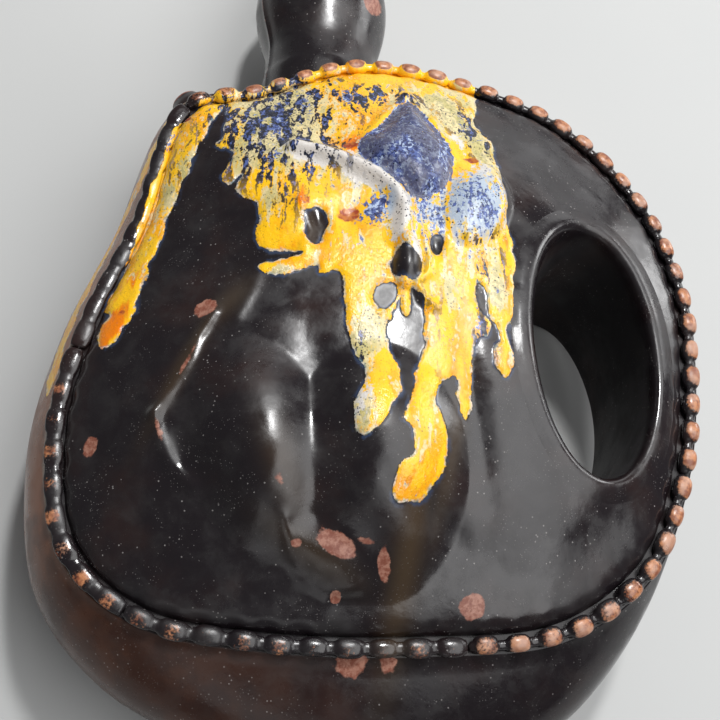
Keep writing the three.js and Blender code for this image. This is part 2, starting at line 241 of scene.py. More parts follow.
# The edge of the main pour, down its left side, around each run, and up the right side.
POUR_EDGE = [
    (-58, 100), (-57.5, 83.5), (-58, 65.5), (-60, 61), (-54, 56.5), (-56, 50), (-57.5, 46), (-54.5, 42.5),
    (-51, 46), (-52.5, 41), (-48, 36), (-45, 34), (-44.5, 25.5), (-43.5, 16), (-38, 14), (-30.5, 13),
    (-38.5, 10.5), (-44, 8.5), (-42, 6), (-37, 5), (-31, 7), (-25.5, 8), (-24.5, 5.5), (-18.5, 6.5),
    (-17, -3), (-15.5, -14.5), (-13, -24), (-10.5, -31.5), (-12.5, -37.5), (-14.5, -43), (-14, -48),
    (-11.5, -51), (-8, -49.5), (-5.5, -45.5), (-2, -40), (0.5, -35.5), (0, -30), (-2.5, -20.5),
    (-3.5, -11.5), (-0.5, -5.5), (1.5, -1.5), (1, -6), (2.7, -8.5), (4.7, -5), (5, 0.5), (9, -2.5),
    (8.5, -9), (8, -19), (5.5, -28), (4.5, -33), (2.5, -39.5), (0.5, -45), (3, -48.5), (3.5, -55),
    (-0.5, -59), (-2.5, -64.5), (0, -69.5), (5.5, -68), (11.5, -62.5), (14.5, -54), (15, -47.5),
    (13, -41.5), (11.5, -36.5), (14, -29.5), (18.5, -27.5), (19, -33), (20, -38.5), (21.5, -41),
    (23.7, -37), (23, -31), (24.5, -22.5), (25.5, -13.5), (29, -13.5), (30, -8.5), (27, -3), (25.2, 2),
    (27, 6), (29, 3.5), (30.5, -5.5), (33.8, -13), (31, -17.5), (31, -23), (34.5, -26), (37.8, -22),
    (37.5, -16.5), (35.8, -13), (38.7, -4), (40, 4.5), (40, 14.5), (40, 24), (38.5, 31), (39, 42.5),
    (38, 56.5), (37.5, 69), (32.5, 77.5), (35, 93.5), (34, 112), (-20, 122), (-58, 112),
]
# A run on the left, from the spout's corner down beside the beads, with a side lobe near its end.
SIDE_RUN_EDGE = [
    (-60, 92), (-66, 86), (-70, 80), (-75.5, 74), (-77.5, 65.5), (-79.5, 54.5), (-82, 46.5),
    (-83.5, 37.5), (-85, 26.5), (-87, 17.5), (-88.5, 10), (-92, 4.5), (-92.8, -0.5), (-90.3, -4),
    (-93.5, -10.5), (-92.5, -15.5), (-89, -16.5), (-86.5, -13), (-83, -6.5), (-81.5, 1), (-80, 8),
    (-78.3, 17), (-76, 25), (-74.3, 34), (-71, 45), (-68.5, 53.5), (-65.5, 62.5), (-62, 73.5), (-58, 84),
]
# A long run down the side of the back shell, outside the bead row, and the spill over its shoulder.
SHOULDER_RUN_EDGE = [
    (-78, 82), (-86, 62), (-93, 44), (-98.5, 27), (-104, 8), (-108, -10), (-109.5, -22), (-108.5, -30),
    (-106, -27), (-104.5, -12), (-101, 3), (-96.5, 19), (-91.5, 35), (-86.5, 50), (-80, 64), (-72, 78),
]
# Windows where the black shows through the pour.
POUR_WINDOWS = [
    [(-29, 29.5), (-26, 32), (-22.5, 28), (-22.5, 22.5), (-25, 17), (-28.5, 18)],
    [(-6.5, 1.5), (-4, 3), (0, 2), (-1.5, -4.5), (-5, -7), (-7.5, -3.5)],
    [(-0.5, 13), (1.5, 16), (5.5, 14), (7.7, 10), (7.2, 5.5), (3.5, 3.5), (-1, 5.5), (-2.5, 9)],
    [(11.5, 21), (13.5, 23), (16, 21), (15, 16), (12, 15)],
]
# The diamond-shaped leaf, which took the blue.
DIAMOND_LEAF = [(7.5, 86), (-3, 71), (-12, 58), (-3, 44), (8, 36), (18, 43), (22, 57), (15, 75)]
# Places as x, y, length, width, turn in degrees and strength, for each colour that mingled into the yellow.
POUR_BLUES = [
    (27, 36, 32, 24, 70, 0.85), (-5.5, 32, 15, 10, 65, 1.0), (-39, 74, 22, 5, 84, 0.8),
    (-48, 66, 20, 5, 80, 0.55), (-30, 84, 14, 5, 90, 0.5), (-14, 87, 10, 4, 90, 0.8),
    (30, 74, 18, 7, 115, 0.3), (-41, 52, 14, 5, 80, 0.5), (12, 32, 26, 16, 85, 0.85),
    (-14, -30, 14, 4, 70, 0.6), (27, -8, 12, 4, 90, 0.6), (-3, -2, 10, 6, 90, 0.5),
    (-75, 71, 12, 5, 60, 0.6),
]
POUR_CREAMS = [
    (-40, 70, 60, 40, 80, 0.75), (-12, 47, 42, 13, -30, 1.0), (1, 27, 18, 8, 70, 1.0),
    (27, 34, 30, 22, 70, 1.0), (33, 2, 26, 9, 90, 0.7), (-10, -16, 26, 12, 80, 0.7),
    (18, 2, 16, 10, 90, 0.5), (-40, 34, 18, 10, 90, 0.5), (-72, 48, 34, 12, 70, 0.6),
    (-82, 20, 30, 7, 75, 0.3), (-38, 6, 16, 4, 15, 0.6), (22, 84, 40, 34, 110, 0.75),
    (33, 62, 44, 12, 100, 0.7), (8, 12, 50, 40, 90, 0.30), (-12, -44, 12, 9, 90, 0.8),
    (8, -48, 16, 6, 70, 0.35),
]
POUR_ORANGES = [
    (-88, -8, 24, 10, 70, 1.0), (-84, 8, 26, 6, 75, 0.6), (-31, 35, 16, 9, 90, 0.8),
    (18, 12, 18, 8, 80, 0.6), (-14, 60, 12, 9, 60, 1.0), (20, -20, 34, 9, 85, 0.35),
    (4, -62, 16, 10, 60, 0.55), (34.5, -21, 12, 8, 90, 0.4), (-43, 43, 14, 8, 60, 0.5),
    (-40, 6, 14, 4, 15, 0.5), (-16, 76, 26, 5, 70, 0.4), (38, 24, 34, 5, 80, 0.7),
    (24, 15, 30, 5, 30, 0.5), (-71, 64, 20, 8, 60, 0.4),
]
POUR_MILKS = [
    (-25, 54, 26, 10, -20, 1.0), (-9, 46, 26, 11, -36, 1.1), (1, 31, 26, 9, 84, 1.1),
    (27, 36, 36, 27, 70, 0.85), (12, 32, 26, 18, 80, 0.7), (31, 52, 14, 10, 90, 0.6),
    (-13, -41, 22, 10, 80, 0.5), (6, 14, 18, 5, 90, 0.8), (-46, 62, 30, 8, 80, 0.35),
    (24, 68, 24, 6, 120, 0.5),
]
# Where the strands of the pour part and the dark shows between them.
POUR_STREAKS = [
    (-38, 76, 76, 56, 88, 1.0), (-6, 86, 44, 22, 5, 0.9), (-72, 56, 60, 12, 72, 0.45),
    (29, 74, 44, 18, 110, 0.7), (-38, 36, 40, 24, 90, 0.5), (8, -10, 60, 60, 90, 0.35),
    (30, 12, 34, 16, 90, 0.7), (-12, -26, 40, 12, 80, 0.6), (28, -14, 30, 12, 90, 0.6),
    (-90, 20, 60, 12, 75, 0.4), (10, -36, 50, 12, 80, 0.35),
]
# Where the black glaze runs thin and brown over the relief.
BROWN_PLACES = [
    (4, -82, 64, 9, 84, 0.8), (17, -50, 50, 6, 78, 0.6), (-64, -24, 44, 5, 66, 0.6),
    (-52, -4, 20, 8, 50, 0.5), (-34, -60, 34, 10, 110, 0.4), (-30, 22, 16, 10, 90, 0.7),
    (-24, -82, 30, 8, -30, 0.5),
]
# Where the black glaze, or the pour, is thin and the red clay shows.
RUST_SPOTS = [
    (-15, 29.5, 9, 7, 30, 1.0), (-14, 60, 8, 6, 20, 0.8), (28.5, 57.5, 7, 4, -20, 0.8),
    (-29.5, 34, 9, 6, 90, 0.6), (-91.5, -50, 10, 6, 75, 0.75), (-59.5, -6, 10, 8, 30, 0.8),
    (-16.5, -93.5, 4, 4, 0, 0.9), (25, -94.5, 9, 8, 20, 1.0), (-17.5, -80, 14, 7.5, -25, 0.95),
    (-3, -85, 12, 5, -75, 0.8), (-9, -79, 9, 3, -10, 0.62), (-35, -64, 11, 6, -50, 0.5),
    (-64, -25, 30, 3.2, 66, 0.52), (-71, -47, 16, 3.6, -72, 0.56), (-21, -77, 10, 3.5, -60, 0.5),
    (-29, -80, 5, 4, 0, 0.7), (-86, -4, 7, 6, 0, 0.5), (-71, 77, 4, 3, 0, 1.0),
    (-50, -3, 10, 3, 60, 0.35),
]


def along_curve(corners, places):
    """Points on a closed, centripetal Catmull-Rom curve through the corners, at places from 0 to 1."""
    count = len(corners)
    spot = (np.asarray(places, float) % 1) * count
    first = np.floor(spot).astype(int)
    share = (spot - first)[:, None]
    before, start, end, after = (corners[(first + k) % count] for k in (-1, 0, 1, 2))

    def knot(p, q):
        return (((p - q) ** 2).sum(1) ** 0.25)[:, None]

    step_in, step, step_out = knot(before, start), knot(start, end), knot(end, after)
    leave = ((start - before) / step_in - (end - before) / (step_in + step) + (end - start) / step) * step
    arrive = ((end - start) / step - (after - start) / (step + step_out) + (after - end) / step_out) * step
    bend = -3 * start + 3 * end - 2 * leave - arrive
    return start + share * (leave + share * (bend + share * (2 * start - 2 * end + leave + arrive)))


def line_distance(x, y, line):
    """Distance from each point to an open line."""
    nearest = np.full(x.shape, 1e9)
    for (ax, ay), (bx, by) in zip(line, line[1:]):
        dx, dy = bx - ax, by - ay
        along = np.clip(((x - ax) * dx + (y - ay) * dy) / (dx * dx + dy * dy), 0, 1)
        nearest = np.minimum(nearest, np.hypot(x - ax - along * dx, y - ay - along * dy))
    return nearest


ROUNDING = 3  # spans of curve between one corner of an outline and the next


def edge_distance(x, y, outline):
    """Distance from each point to an outline rounded at its corners, positive inside it."""
    spans = ROUNDING * len(outline)
    line = along_curve(np.array(outline, float), np.arange(spans + 1) / spans)
    nearest = line_distance(x, y, line)
    inside = np.zeros(x.shape, bool)
    for (ax, ay), (bx, by) in zip(line, line[1:]):
        if ay != by:
            crosses = (ay > y) != (by > y)
            inside ^= crosses & (x < ax + (y - ay) * (bx - ax) / (by - ay))
    return np.where(inside, nearest, -nearest)


def turned(x, y, cx, cy, turn):
    """Coordinates along and across a place that is turned from +X."""
    c, s = math.cos(math.radians(turn)), math.sin(math.radians(turn))
    return (x - cx) * c + (y - cy) * s, (y - cy) * c - (x - cx) * s


def soft_spots(x, y, spots):
    """The strongest of some soft oval spots at each point, from 0 to 1."""
    found = np.zeros(x.shape)
    for cx, cy, length, width, turn, strength in spots:
        along, across = turned(x, y, cx, cy, turn)
        reach = (2 * along / length) ** 2 + (2 * across / width) ** 2
        found = np.maximum(found, strength * np.exp(-reach * 0.9))
    return found


def ripple(points, size, seed=0):
    """Smooth noise from -1 to 1 at each point, with features of this size."""
    return np.array([noise.noise(Vector(p) / size + Vector((seed, seed, seed))) for p in points])


# The unevenness of the pour's edge: a slow wobble and a fine fray, worked out this near to the edge.
WOBBLE_SIZE, WOBBLE = 3.6, 1.15
FRAY_SIZE, FRAY = 1.4, 0.45
EDGE_ZONE = 6


def pour_depth(points, runs_on_shell=False):
    """How far inside the poured glaze's edge each point is, in millimetres, with the edge's own wobble."""
    x, y = points[:, 0], points[:, 1]
    depth = np.maximum(edge_distance(x, y, POUR_EDGE), edge_distance(x, y, SIDE_RUN_EDGE))
    if runs_on_shell:
        depth = np.maximum(depth, edge_distance(x, y, SHOULDER_RUN_EDGE))
    for window in POUR_WINDOWS:
        depth = np.minimum(depth, -edge_distance(x, y, window))
    near = np.abs(depth) < EDGE_ZONE
    wobble = np.zeros(len(points))
    flat = [(px, py * 0.6, 0) for px, py in zip(x[near], y[near])]
    wobble[near] = WOBBLE * ripple(flat, WOBBLE_SIZE) + FRAY * ripple(flat, FRAY_SIZE, 7)
    return depth + wobble


def points_of(piece):
    """A piece's points in millimetres."""
    return np.array([v.co for v in piece.data.vertices]) / MM


def paint(piece, **layers):
    """Stores each named layer of values on the piece's points, over any layer of that name."""
    kept = piece.data.attributes
    for name, values in layers.items():
        layer = kept.get(name) or kept.new(name, "FLOAT", "POINT")
        layer.data.foreach_set("value", np.asarray(values, np.float32))


def paint_pour(piece, runs_on_shell=False):
    """Stores the poured glaze's edge and its mingled colours on a piece."""
    points = points_of(piece)
    x, y = points[:, 0], points[:, 1]
    leaf = np.clip(edge_distance(x, y, DIAMOND_LEAF) / 1.5 + 0.5, 0, 1)
    paint(
        piece,
        pour=pour_depth(points, runs_on_shell),
        leaf=leaf * np.clip(1 - np.clip(x - y * 0.35 + 8, 0, 30) / 60, 0, 1),
        blue=np.maximum(soft_spots(x, y, POUR_BLUES), leaf),
        cream=soft_spots(x, y, POUR_CREAMS),
        orange=soft_spots(x, y, POUR_ORANGES) * (1 - leaf),
        rust=soft_spots(x, y, RUST_SPOTS),
        streak=soft_spots(x, y, POUR_STREAKS) * (1 - leaf),
        milk=soft_spots(x, y, POUR_MILKS) * (1 - 0.6 * leaf),
        brown=soft_spots(x, y, BROWN_PLACES),
    )


BLACK = (0.0095, 0.0068, 0.0085)
BLACK_WARM = (0.032, 0.014, 0.011)
BLACK_HAZY = (0.026, 0.024, 0.024)
THIN_BROWN = (0.060, 0.038, 0.020)
PINHOLE = (0.34, 0.32, 0.31)
RUST = (0.20, 0.060, 0.036)
RUST_LIGHT = (0.36, 0.17, 0.12)
YELLOW = (0.95, 0.53, 0.008)
GOLD = (0.90, 0.38, 0.003)
ORANGE = (0.85, 0.21, 0.001)
CREAM = (0.74, 0.61, 0.32)
KHAKI = (0.36, 0.33, 0.17)
WHITE = (0.66, 0.62, 0.58)
BLUE_WHITE = (0.40, 0.47, 0.56)
NAVY = (0.022, 0.032, 0.115)
MID_BLUE = (0.085, 0.125, 0.33)
PALE_BLUE = (0.40, 0.49, 0.66)
OCHRE_GREEN = (0.36, 0.32, 0.055)
SPECK = (0.014, 0.016, 0.028)
LEAF_SLATE = (0.075, 0.075, 0.12)
HALO_BLUE = (0.030, 0.050, 0.105)
RIM_GREEN = (0.13, 0.24, 0.28)
IRON_RED = (0.30, 0.045, 0.018)
IRON_ORANGE = (0.48, 0.15, 0.03)
GLAZE_IOR = 1.55


def black_glaze(wire):
    """The black glaze's colour and roughness: warm brown in places, with pale pinholes and hazy patches."""
    warm = wire.noise(26, 4, seed=2).step(0.45, 0.72)
    colour = (warm * 0.55).mix(BLACK, BLACK_WARM)
    cloud = wire.noise(10, 7, roughness=0.72, distortion=0.4, seed=6).step(0.40, 0.72)
    colour = (cloud * 0.45).mix(colour, BLACK_HAZY)
    bubbles = wire.cells(2.1).step(0.15, 0.08) * wire.noise(14, 4, seed=5).step(0.47, 0.57)
    dust = wire.cells(0.95).step(0.19, 0.11) * wire.noise(9, 4, seed=9).step(0.49, 0.60)
    flecks = (bubbles * 0.55 + dust * 0.30).clamped()
    colour = wire.attribute("brown").mix(colour, THIN_BROWN)
    colour = flecks.mix(colour, PINHOLE)
    haze = wire.noise(20, 5, roughness=0.6, seed=4)
    roughness = 0.15 + haze.step(0.40, 0.60) * 0.15 + cloud * 0.12 + flecks * 0.2
    return colour, roughness


def rusty(wire, colour, amount):
    """Colour with the red clay showing through in ragged patches by this amount."""
    ragged = wire.noise(2.6, 5, roughness=0.62, seed=11)
    shows = (amount + (ragged - 0.5) * 0.5).step(0.44, 0.54)
    clay = wire.noise(1.6, 4, roughness=0.65, seed=12).step(0.40, 0.62).mix(RUST, RUST_LIGHT)
    return shows.mix(colour, clay), shows


def pour_colour(wire):
    """The poured glaze's colour: yellow strands with cream, orange and blue mingled in, and dark specks."""
    fine = wire.noise(1.15, 4, stretch=(1, 1.5, 1), roughness=0.62, seed=21) - 0.5
    strand = wire.noise(3.0, 3, stretch=(1, 4.2, 1), distortion=0.5, seed=22) - 0.5
    broad = wire.noise(8, 3, stretch=(1, 1.8, 1), seed=23) - 0.5
    colour = (broad + strand * 0.6 + fine * 0.3).step(-0.04, 0.10).mix(YELLOW, GOLD)
    orange = (wire.attribute("orange") + strand * 1.6 + broad * 0.8).step(0.42, 0.80)
    colour = orange.mix(colour, ORANGE)
    cream = wire.attribute("cream")
    pale = cream + strand * 2.2 + broad * 1.2 + fine * 1.2
    khaki = (fine + strand * 0.4).step(-0.03, 0.06) * cream.step(0.2, 0.7)
    colour = pale.step(0.32, 0.54).mix(colour, (khaki * 0.7).mix(CREAM, KHAKI))
    tint = wire.noise(5, 3, stretch=(1, 1.6, 1), seed=26).step(0.50, 0.60) * (cream + 0.15).clamped()
    colour = (tint * 0.6).mix(colour, OCHRE_GREEN)
    blue = wire.attribute("blue")
    dabs = wire.noise(1.7, 4, roughness=0.65, distortion=0.8, seed=27) - 0.5
    milk_run = wire.attribute("milk")
    milk = (milk_run + fine * 1.2 + strand + dabs * 0.4).step(0.38, 0.56)
    colour = milk.mix(colour, blue.step(0.2, 0.6).mix(WHITE, BLUE_WHITE))
    blues = (dabs + fine * 0.5).step(-0.04, 0.04).mix(NAVY, MID_BLUE)
    blues = (dabs * 0.8 - fine * 0.8).step(0.02, 0.09).mix(blues, PALE_BLUE)
    slate = (wire.attribute("leaf") + broad * 2.4 + dabs * 0.8).step(0.72, 0.95)
    blues = (slate * 0.75).mix(blues, LEAF_SLATE)
    bluer = blue - milk_run * 0.42 + strand * 1.3 + fine * 1.8 + dabs * 1.2
    colour = bluer.step(0.40, 0.56).mix(colour, blues)
    streak = wire.attribute("streak")
    gaps = (strand + fine * 0.45 - (streak - 0.55) * 0.16).step(-0.030, -0.075)
    inky = (fine + dabs * 0.6).step(0.0, 0.09).mix(SPECK, MID_BLUE)
    colour = (gaps * streak.step(0.10, 0.55)).mix(colour, inky)
    specks = wire.cells(1.0).step(0.36, 0.24) * (wire.noise(2.6, 3, seed=24) + fine * 0.5).step(0.47, 0.56)
    marked = (0.12 + cream * 0.9 + blue * 0.8 + streak * 0.5).clamped()
    return (specks * marked).mix(colour, SPECK)


def glazed_material(name, poured=True):
    """Black glaze over red clay, with the poured glaze over it where a piece carries that layer."""
    material, shader, wire = new_material(name)
    colour, roughness = black_glaze(wire)
    colour, shows = rusty(wire, colour, wire.attribute("rust"))
    roughness = roughness + shows * 0.16
    height = wire.noise(2.4, 3, seed=31) * 0.05 + wire.noise(0.6, 2, seed=32) * 0.008
    if poured:
        pour = wire.attribute("pour") + (wire.noise(0.8, 4, roughness=0.65, seed=33) - 0.5) * 1.3
        inside = pour.step(-0.10, 0.14)
        halo = wire.noise(5, 3, seed=39).step(0.42, 0.56)
        colour = (pour.step(-1.5, -0.1) * halo * 0.8).mix(colour, HALO_BLUE)
        body = pour_colour(wire)
        rim = pour.step(1.0, 0.1) * wire.noise(3.4, 3, seed=34).step(0.44, 0.56)
        rim_colour = wire.noise(1.6, 3, seed=35).step(0.42, 0.56).mix(RIM_GREEN, WHITE)
        body = (rim * 0.8).mix(body, rim_colour)
        worn = (wire.attribute("rust") + (wire.noise(2.4, 4, roughness=0.6, seed=36) - 0.5)).step(0.46, 0.66)
        iron = wire.noise(2.0, 3, seed=40).step(0.42, 0.58).mix(IRON_RED, IRON_ORANGE)
        body = worn.mix(body, iron)
        colour = inside.mix(colour, body)
        roughness = roughness * (1 - inside) + (0.14 + wire.noise(3, 3, seed=37) * 0.16) * inside
        height = height + inside * 0.10 + inside * wire.noise(1.2, 4, roughness=0.6, seed=38) * 0.30
    bump = wire.node("ShaderNodeBump", Height=height, Strength=1.0, Distance=MM)
    drive(shader, Base_Color=colour, Roughness=roughness, Normal=bump)
    shader.inputs["IOR"].default_value = GLAZE_IOR
    return material


panel_glaze = glazed_material("black_glaze_poured")

# ---- Front panel ----
# The front shell, pressed from a sheet of clay, with its fruit and leaf sprigs luted on before glazing.
# It is one glazed skin here: the dome, the sprigs and the thickness of the poured glaze.

BODY_WIDTH, BODY_HEIGHT = 215, 219
SEAM_HEIGHT = 60
BEAD_WIDTH, BEAD_PITCH = 6.4, 10.4
LUTING_GAP = 0.3
PANEL_STEP = -BEAD_WIDTH / 2 - LUTING_GAP
PANEL_EDGE, DOME_RISE, DOME_POWER = 3.0, 24, 2.2
PANEL_BASE = SEAM_HEIGHT + LUTING_GAP / 2
EDGE_ROUND, EDGE_DROP = 4.2, 2.2

# The bead line as shares of half the body's width and height, down the left from the spout's corner.
BEAD_LINE = np.array([
    (-0.665, 0.775), (-0.785, 0.31), (-0.9, -0.018), (-0.963, -0.365), (-0.893, -0.731), (-0.688, -0.904),
    (-0.353, -0.965), (0.12, -0.966), (0.51, -0.917), (0.785, -0.728), (0.932, -0.43), (0.998, -0.1),
    (1.003, 0.2), (0.885, 0.545), (0.636, 0.82), (0.316, 0.955), (-0.074, 1.005), (-0.446, 0.852),
]) * (BODY_WIDTH / 2, BODY_HEIGHT / 2)

LINE_STEPS = 2880

bead_line = along_curve(BEAD_LINE, np.arange(LINE_STEPS) / LINE_STEPS)
bead_lengths = np.concatenate([[0], np.cumsum(np.hypot(*(np.roll(bead_line, -1, 0) - bead_line).T))])
bead_line_length = bead_lengths[-1]
bead_count = round(bead_line_length / BEAD_PITCH)
closed_line = np.vstack([bead_line, bead_line[:1]])


def on_bead_line(places):
    """Points on the bead line at shares of its length, and its outward directions there."""
    run = (np.asarray(places, float) % 1) * bead_line_length

    def at(lengths):
        return np.stack([np.interp(lengths, bead_lengths, closed_line[:, k]) for k in (0, 1)], 1)

    here, ahead = at(run), at((run + 0.5) % bead_line_length)
    tangent = (ahead - here) / np.linalg.norm(ahead - here, axis=1)[:, None]
    return here, np.stack([tangent[:, 1], -tangent[:, 0]], 1)


rim_angles = np.arctan2(bead_line[:, 1], bead_line[:, 0])
rim_order = np.argsort(rim_angles)
rim_radii = np.hypot(*bead_line.T)


def rim_radius(x, y):
    return np.interp(np.arctan2(y, x), rim_angles[rim_order], rim_radii[rim_order], period=2 * math.pi)


def rim_place(x, y):
    """The share of the bead line's length at the direction of each point."""
    shares = np.unwrap(bead_lengths[:-1][rim_order] / bead_line_length, period=1)
    angles = rim_angles[rim_order]
    loop_angles = np.concatenate([angles - 2 * math.pi, angles, angles + 2 * math.pi])
    loop_shares = np.concatenate([shares - 1, shares, shares + 1])
    return np.interp(np.arctan2(y, x), loop_angles, loop_shares)


# Sprigs as x, y, length, width, turn in degrees, height and how sharply the sides rise.
FRUITS = [
    (-5, -56, 78, 56, 95, 11.8, 1.5), (-42, -50, 76, 46, 112, 7.6, 1.6),
    (-17, -83, 34, 20, -25, 4.6, 1.3), (29, 37, 40, 24, 70, 4.8, 1.2),
    (3.6, 10.5, 21, 10.5, 86, 5.0, 0.9), (-19.5, -60, 20, 14, 60, 2.0, 2.0),
    (-72, -40, 60, 34, 66, 2.4, 1.6),
]
FRUIT_BLEND = 1.7  # how softly one sprig runs into the next
LEAF_RISE, LEAF_SLOPE = 6.2, 5.0
# Raised lines as their points, width and height.
RIDGES = [
    ([(-33, 58), (-25, 56), (-15, 51), (-6, 45.5), (0, 39), (3, 32), (2.5, 24), (2, 19)], 6.5, 4.2),
    ([(9.5, 21), (10.8, 13), (10.2, 7), (6.5, 3), (8.5, -2), (12, -5)], 3.0, 1.6),
    ([(-57, -8), (-61, -16), (-63, -24), (-68, -34), (-73, -42)], 4.2, 1.1),
    ([(-73, -42), (-71, -49), (-66, -58), (-60, -64)], 4.6, 1.0),
    ([(-44, 6), (-46, -1), (-50, -10)], 5.0, 0.6),
    ([(-33, -74), (-31, -82), (-27, -89), (-19, -92.5), (-10, -91)], 4.0, 0.8),
    ([(-11, 59), (-2, 75), (7, 89.5)], 4.4, 1.3),
    ([(22.5, 58), (16, 76), (8, 90)], 4.4, 1.3),
    ([(24, 21), (33, 27), (37.5, 38), (36, 52), (29, 60)], 4.0, 1.2),
    ([(-30, 13), (-27, 22), (-31, 33)], 5.0, 1.2),
]
# Pressed-in places, with their depth; a swelling has a depth below 0.
HOLLOWS = [
    (-15, 29, 14, 10, 60, 2.4), (-25.5, 24, 14, 8, 90, 1.6), (-23, 64, 12, 9, 30, 1.2),
    (28, 60, 10, 7, 0, 1.0), (-23, -34, 60, 12, 100, 1.0), (13, 18, 8, 6, 90, 1.2),
    (24, -34, 60, 9, 98, 1.5), (11, -71, 30, 9, 150, 1.5), (-64, -30, 44, 6, 68, 0.6),
    (-57, -60, 26, 8, -55, 0.6), (-36, -66, 30, 26, 100, -3.6), (-29, -79, 12, 9, 120, -0.9),
    (66, -72, 26, 18, 40, 0.9), (-58, 20, 40, 24, 70, 0.8),
]


def dome_height(x, y):
    share = np.minimum(1, np.hypot(x, y) / (rim_radius(x, y) + PANEL_STEP))
    return PANEL_BASE + PANEL_EDGE + DOME_RISE * (1 - share ** DOME_POWER)


def relief(x, y):
    """Height of the sprigs, ridges and hollows above the plain dome."""
    leaf = np.clip(edge_distance(x, y, DIAMOND_LEAF), 0, None)
    mounds = np.exp(LEAF_RISE * (1 - np.exp(-(leaf / LEAF_SLOPE) ** 1.6)) / FRUIT_BLEND)
    for cx, cy, length, width, turn, height, power in FRUITS:
        along, across = turned(x, y, cx, cy, turn)
        inside = np.clip(1 - (2 * along / length) ** 2 - (2 * across / width) ** 2, 0, None)
        mounds += np.exp(height * inside ** power / FRUIT_BLEND) - 1
    rise = FRUIT_BLEND * np.log(mounds)
    for line, width, height in RIDGES:
        rise = rise + height * np.exp(-(line_distance(x, y, line) * 2 / width) ** 2)
    for cx, cy, length, width, turn, depth in HOLLOWS:
        rise = rise - depth * soft_spots(x, y, [(cx, cy, length, width, turn, 1.0)])
    return rise


POUR_THICKNESS, POUR_SHOULDER = 0.75, 0.9
# Unevenness left by the hand, as the size of its features, its height and the noise's seed.
HAND_WAVES = [(36, 0.6, 3), (13, 0.26, 5), (4.5, 0.05, 6)]
BEAD_PRESS, BEAD_PRESS_REACH = 0.4, 2.4


def panel_height(points):
    """Height of the glazed panel over each x, y point."""
    x, y = points[:, 0], points[:, 1]
    gap = rim_radius(x, y) + PANEL_STEP - np.hypot(x, y)
    height = dome_height(x, y) + relief(x, y)
    hand = [(px, py, 0) for px, py in zip(x, y)]
    for wave_size, wave_height, wave_seed in HAND_WAVES:
        height = height + wave_height * ripple(hand, wave_size, wave_seed)
    into_round = np.clip(1 - gap / EDGE_ROUND, 0, 1)
    height = height - EDGE_DROP * (1 - np.sqrt(1 - into_round ** 2))
    beads = np.cos(2 * math.pi * rim_place(x, y) * bead_count)
    pressed = BEAD_PRESS * (1 + beads) * np.exp(-(np.clip(gap, 0, None) / BEAD_PRESS_REACH) ** 2)
    thickness = POUR_THICKNESS * (1 - np.exp(-np.clip(pour_depth(points), 0, None) / POUR_SHOULDER))
    return height - pressed + thickness


GRIP_BAR, GRIP_Y, GRIP_WIDTH, GRIP_LENGTH = 17, -9, 44, 88
GRIP_X = BODY_WIDTH / 2 - GRIP_BAR - GRIP_WIDTH / 2
GRIP_CUT = 3.2  # the panel's own hole, outside the tunnel's opening


def grip_share(xy):
    """Below 1 inside the panel's hole for the tunnel."""
    half = np.array([GRIP_WIDTH / 2 + GRIP_CUT, GRIP_LENGTH / 2 + GRIP_CUT])
    return np.hypot(*((xy - (GRIP_X, GRIP_Y)) / half).T)


PANEL_CELLS = 318
MAP_SPAN = 2 * BODY_HEIGHT / 1.9  # millimetres across the whole flat map

side = np.linspace(-1, 1, PANEL_CELLS + 1)
across, up = (a.ravel() for a in np.meshgrid(side, side))
# A square grid drawn out into a round one, so its cells stay nearly even up to the rim.
wide = np.abs(across) > np.abs(up)
reach = np.where(wide, np.abs(across), np.abs(up))
safe_across = np.where(across == 0, 1, across)
safe_up = np.where(up == 0, 1, up)
angle = np.where(
    wide, math.pi / 4 * up / safe_across + np.where(across < 0, math.pi, 0),
    math.pi / 2 - math.pi / 4 * across / safe_up + np.where(up < 0, math.pi, 0))
ray = np.stack([np.cos(angle), np.sin(angle)], 1)
panel_xy = ray * (reach * (rim_radius(ray[:, 0], ray[:, 1]) + PANEL_STEP))[:, None]

panel_faces = grid_faces(PANEL_CELLS)
panel_faces = panel_faces[grip_share(panel_xy[panel_faces].mean(1)) > 1]
used, panel_faces = np.unique(panel_faces, return_inverse=True)
panel_faces = panel_faces.reshape(-1, 4)
panel_xy = panel_xy[used]

# Points on the hole's ragged edge move onto its outline.
edges = np.sort(np.stack([panel_faces, np.roll(panel_faces, -1, 1)], 2).reshape(-1, 2), 1)
edges, uses = np.unique(edges, axis=0, return_counts=True)
rim_points = np.unique(edges[uses == 1])
share = grip_share(panel_xy)
inside_rim = np.hypot(*panel_xy.T) < rim_radius(*panel_xy.T) + PANEL_STEP - 2
hole_points = rim_points[(share[rim_points] < 1.3) & inside_rim[rim_points]]
centre = np.array([GRIP_X, GRIP_Y])
panel_xy[hole_points] = centre + (panel_xy[hole_points] - centre) / share[hole_points][:, None]

panel_points = np.column_stack([panel_xy, panel_height(panel_xy)])

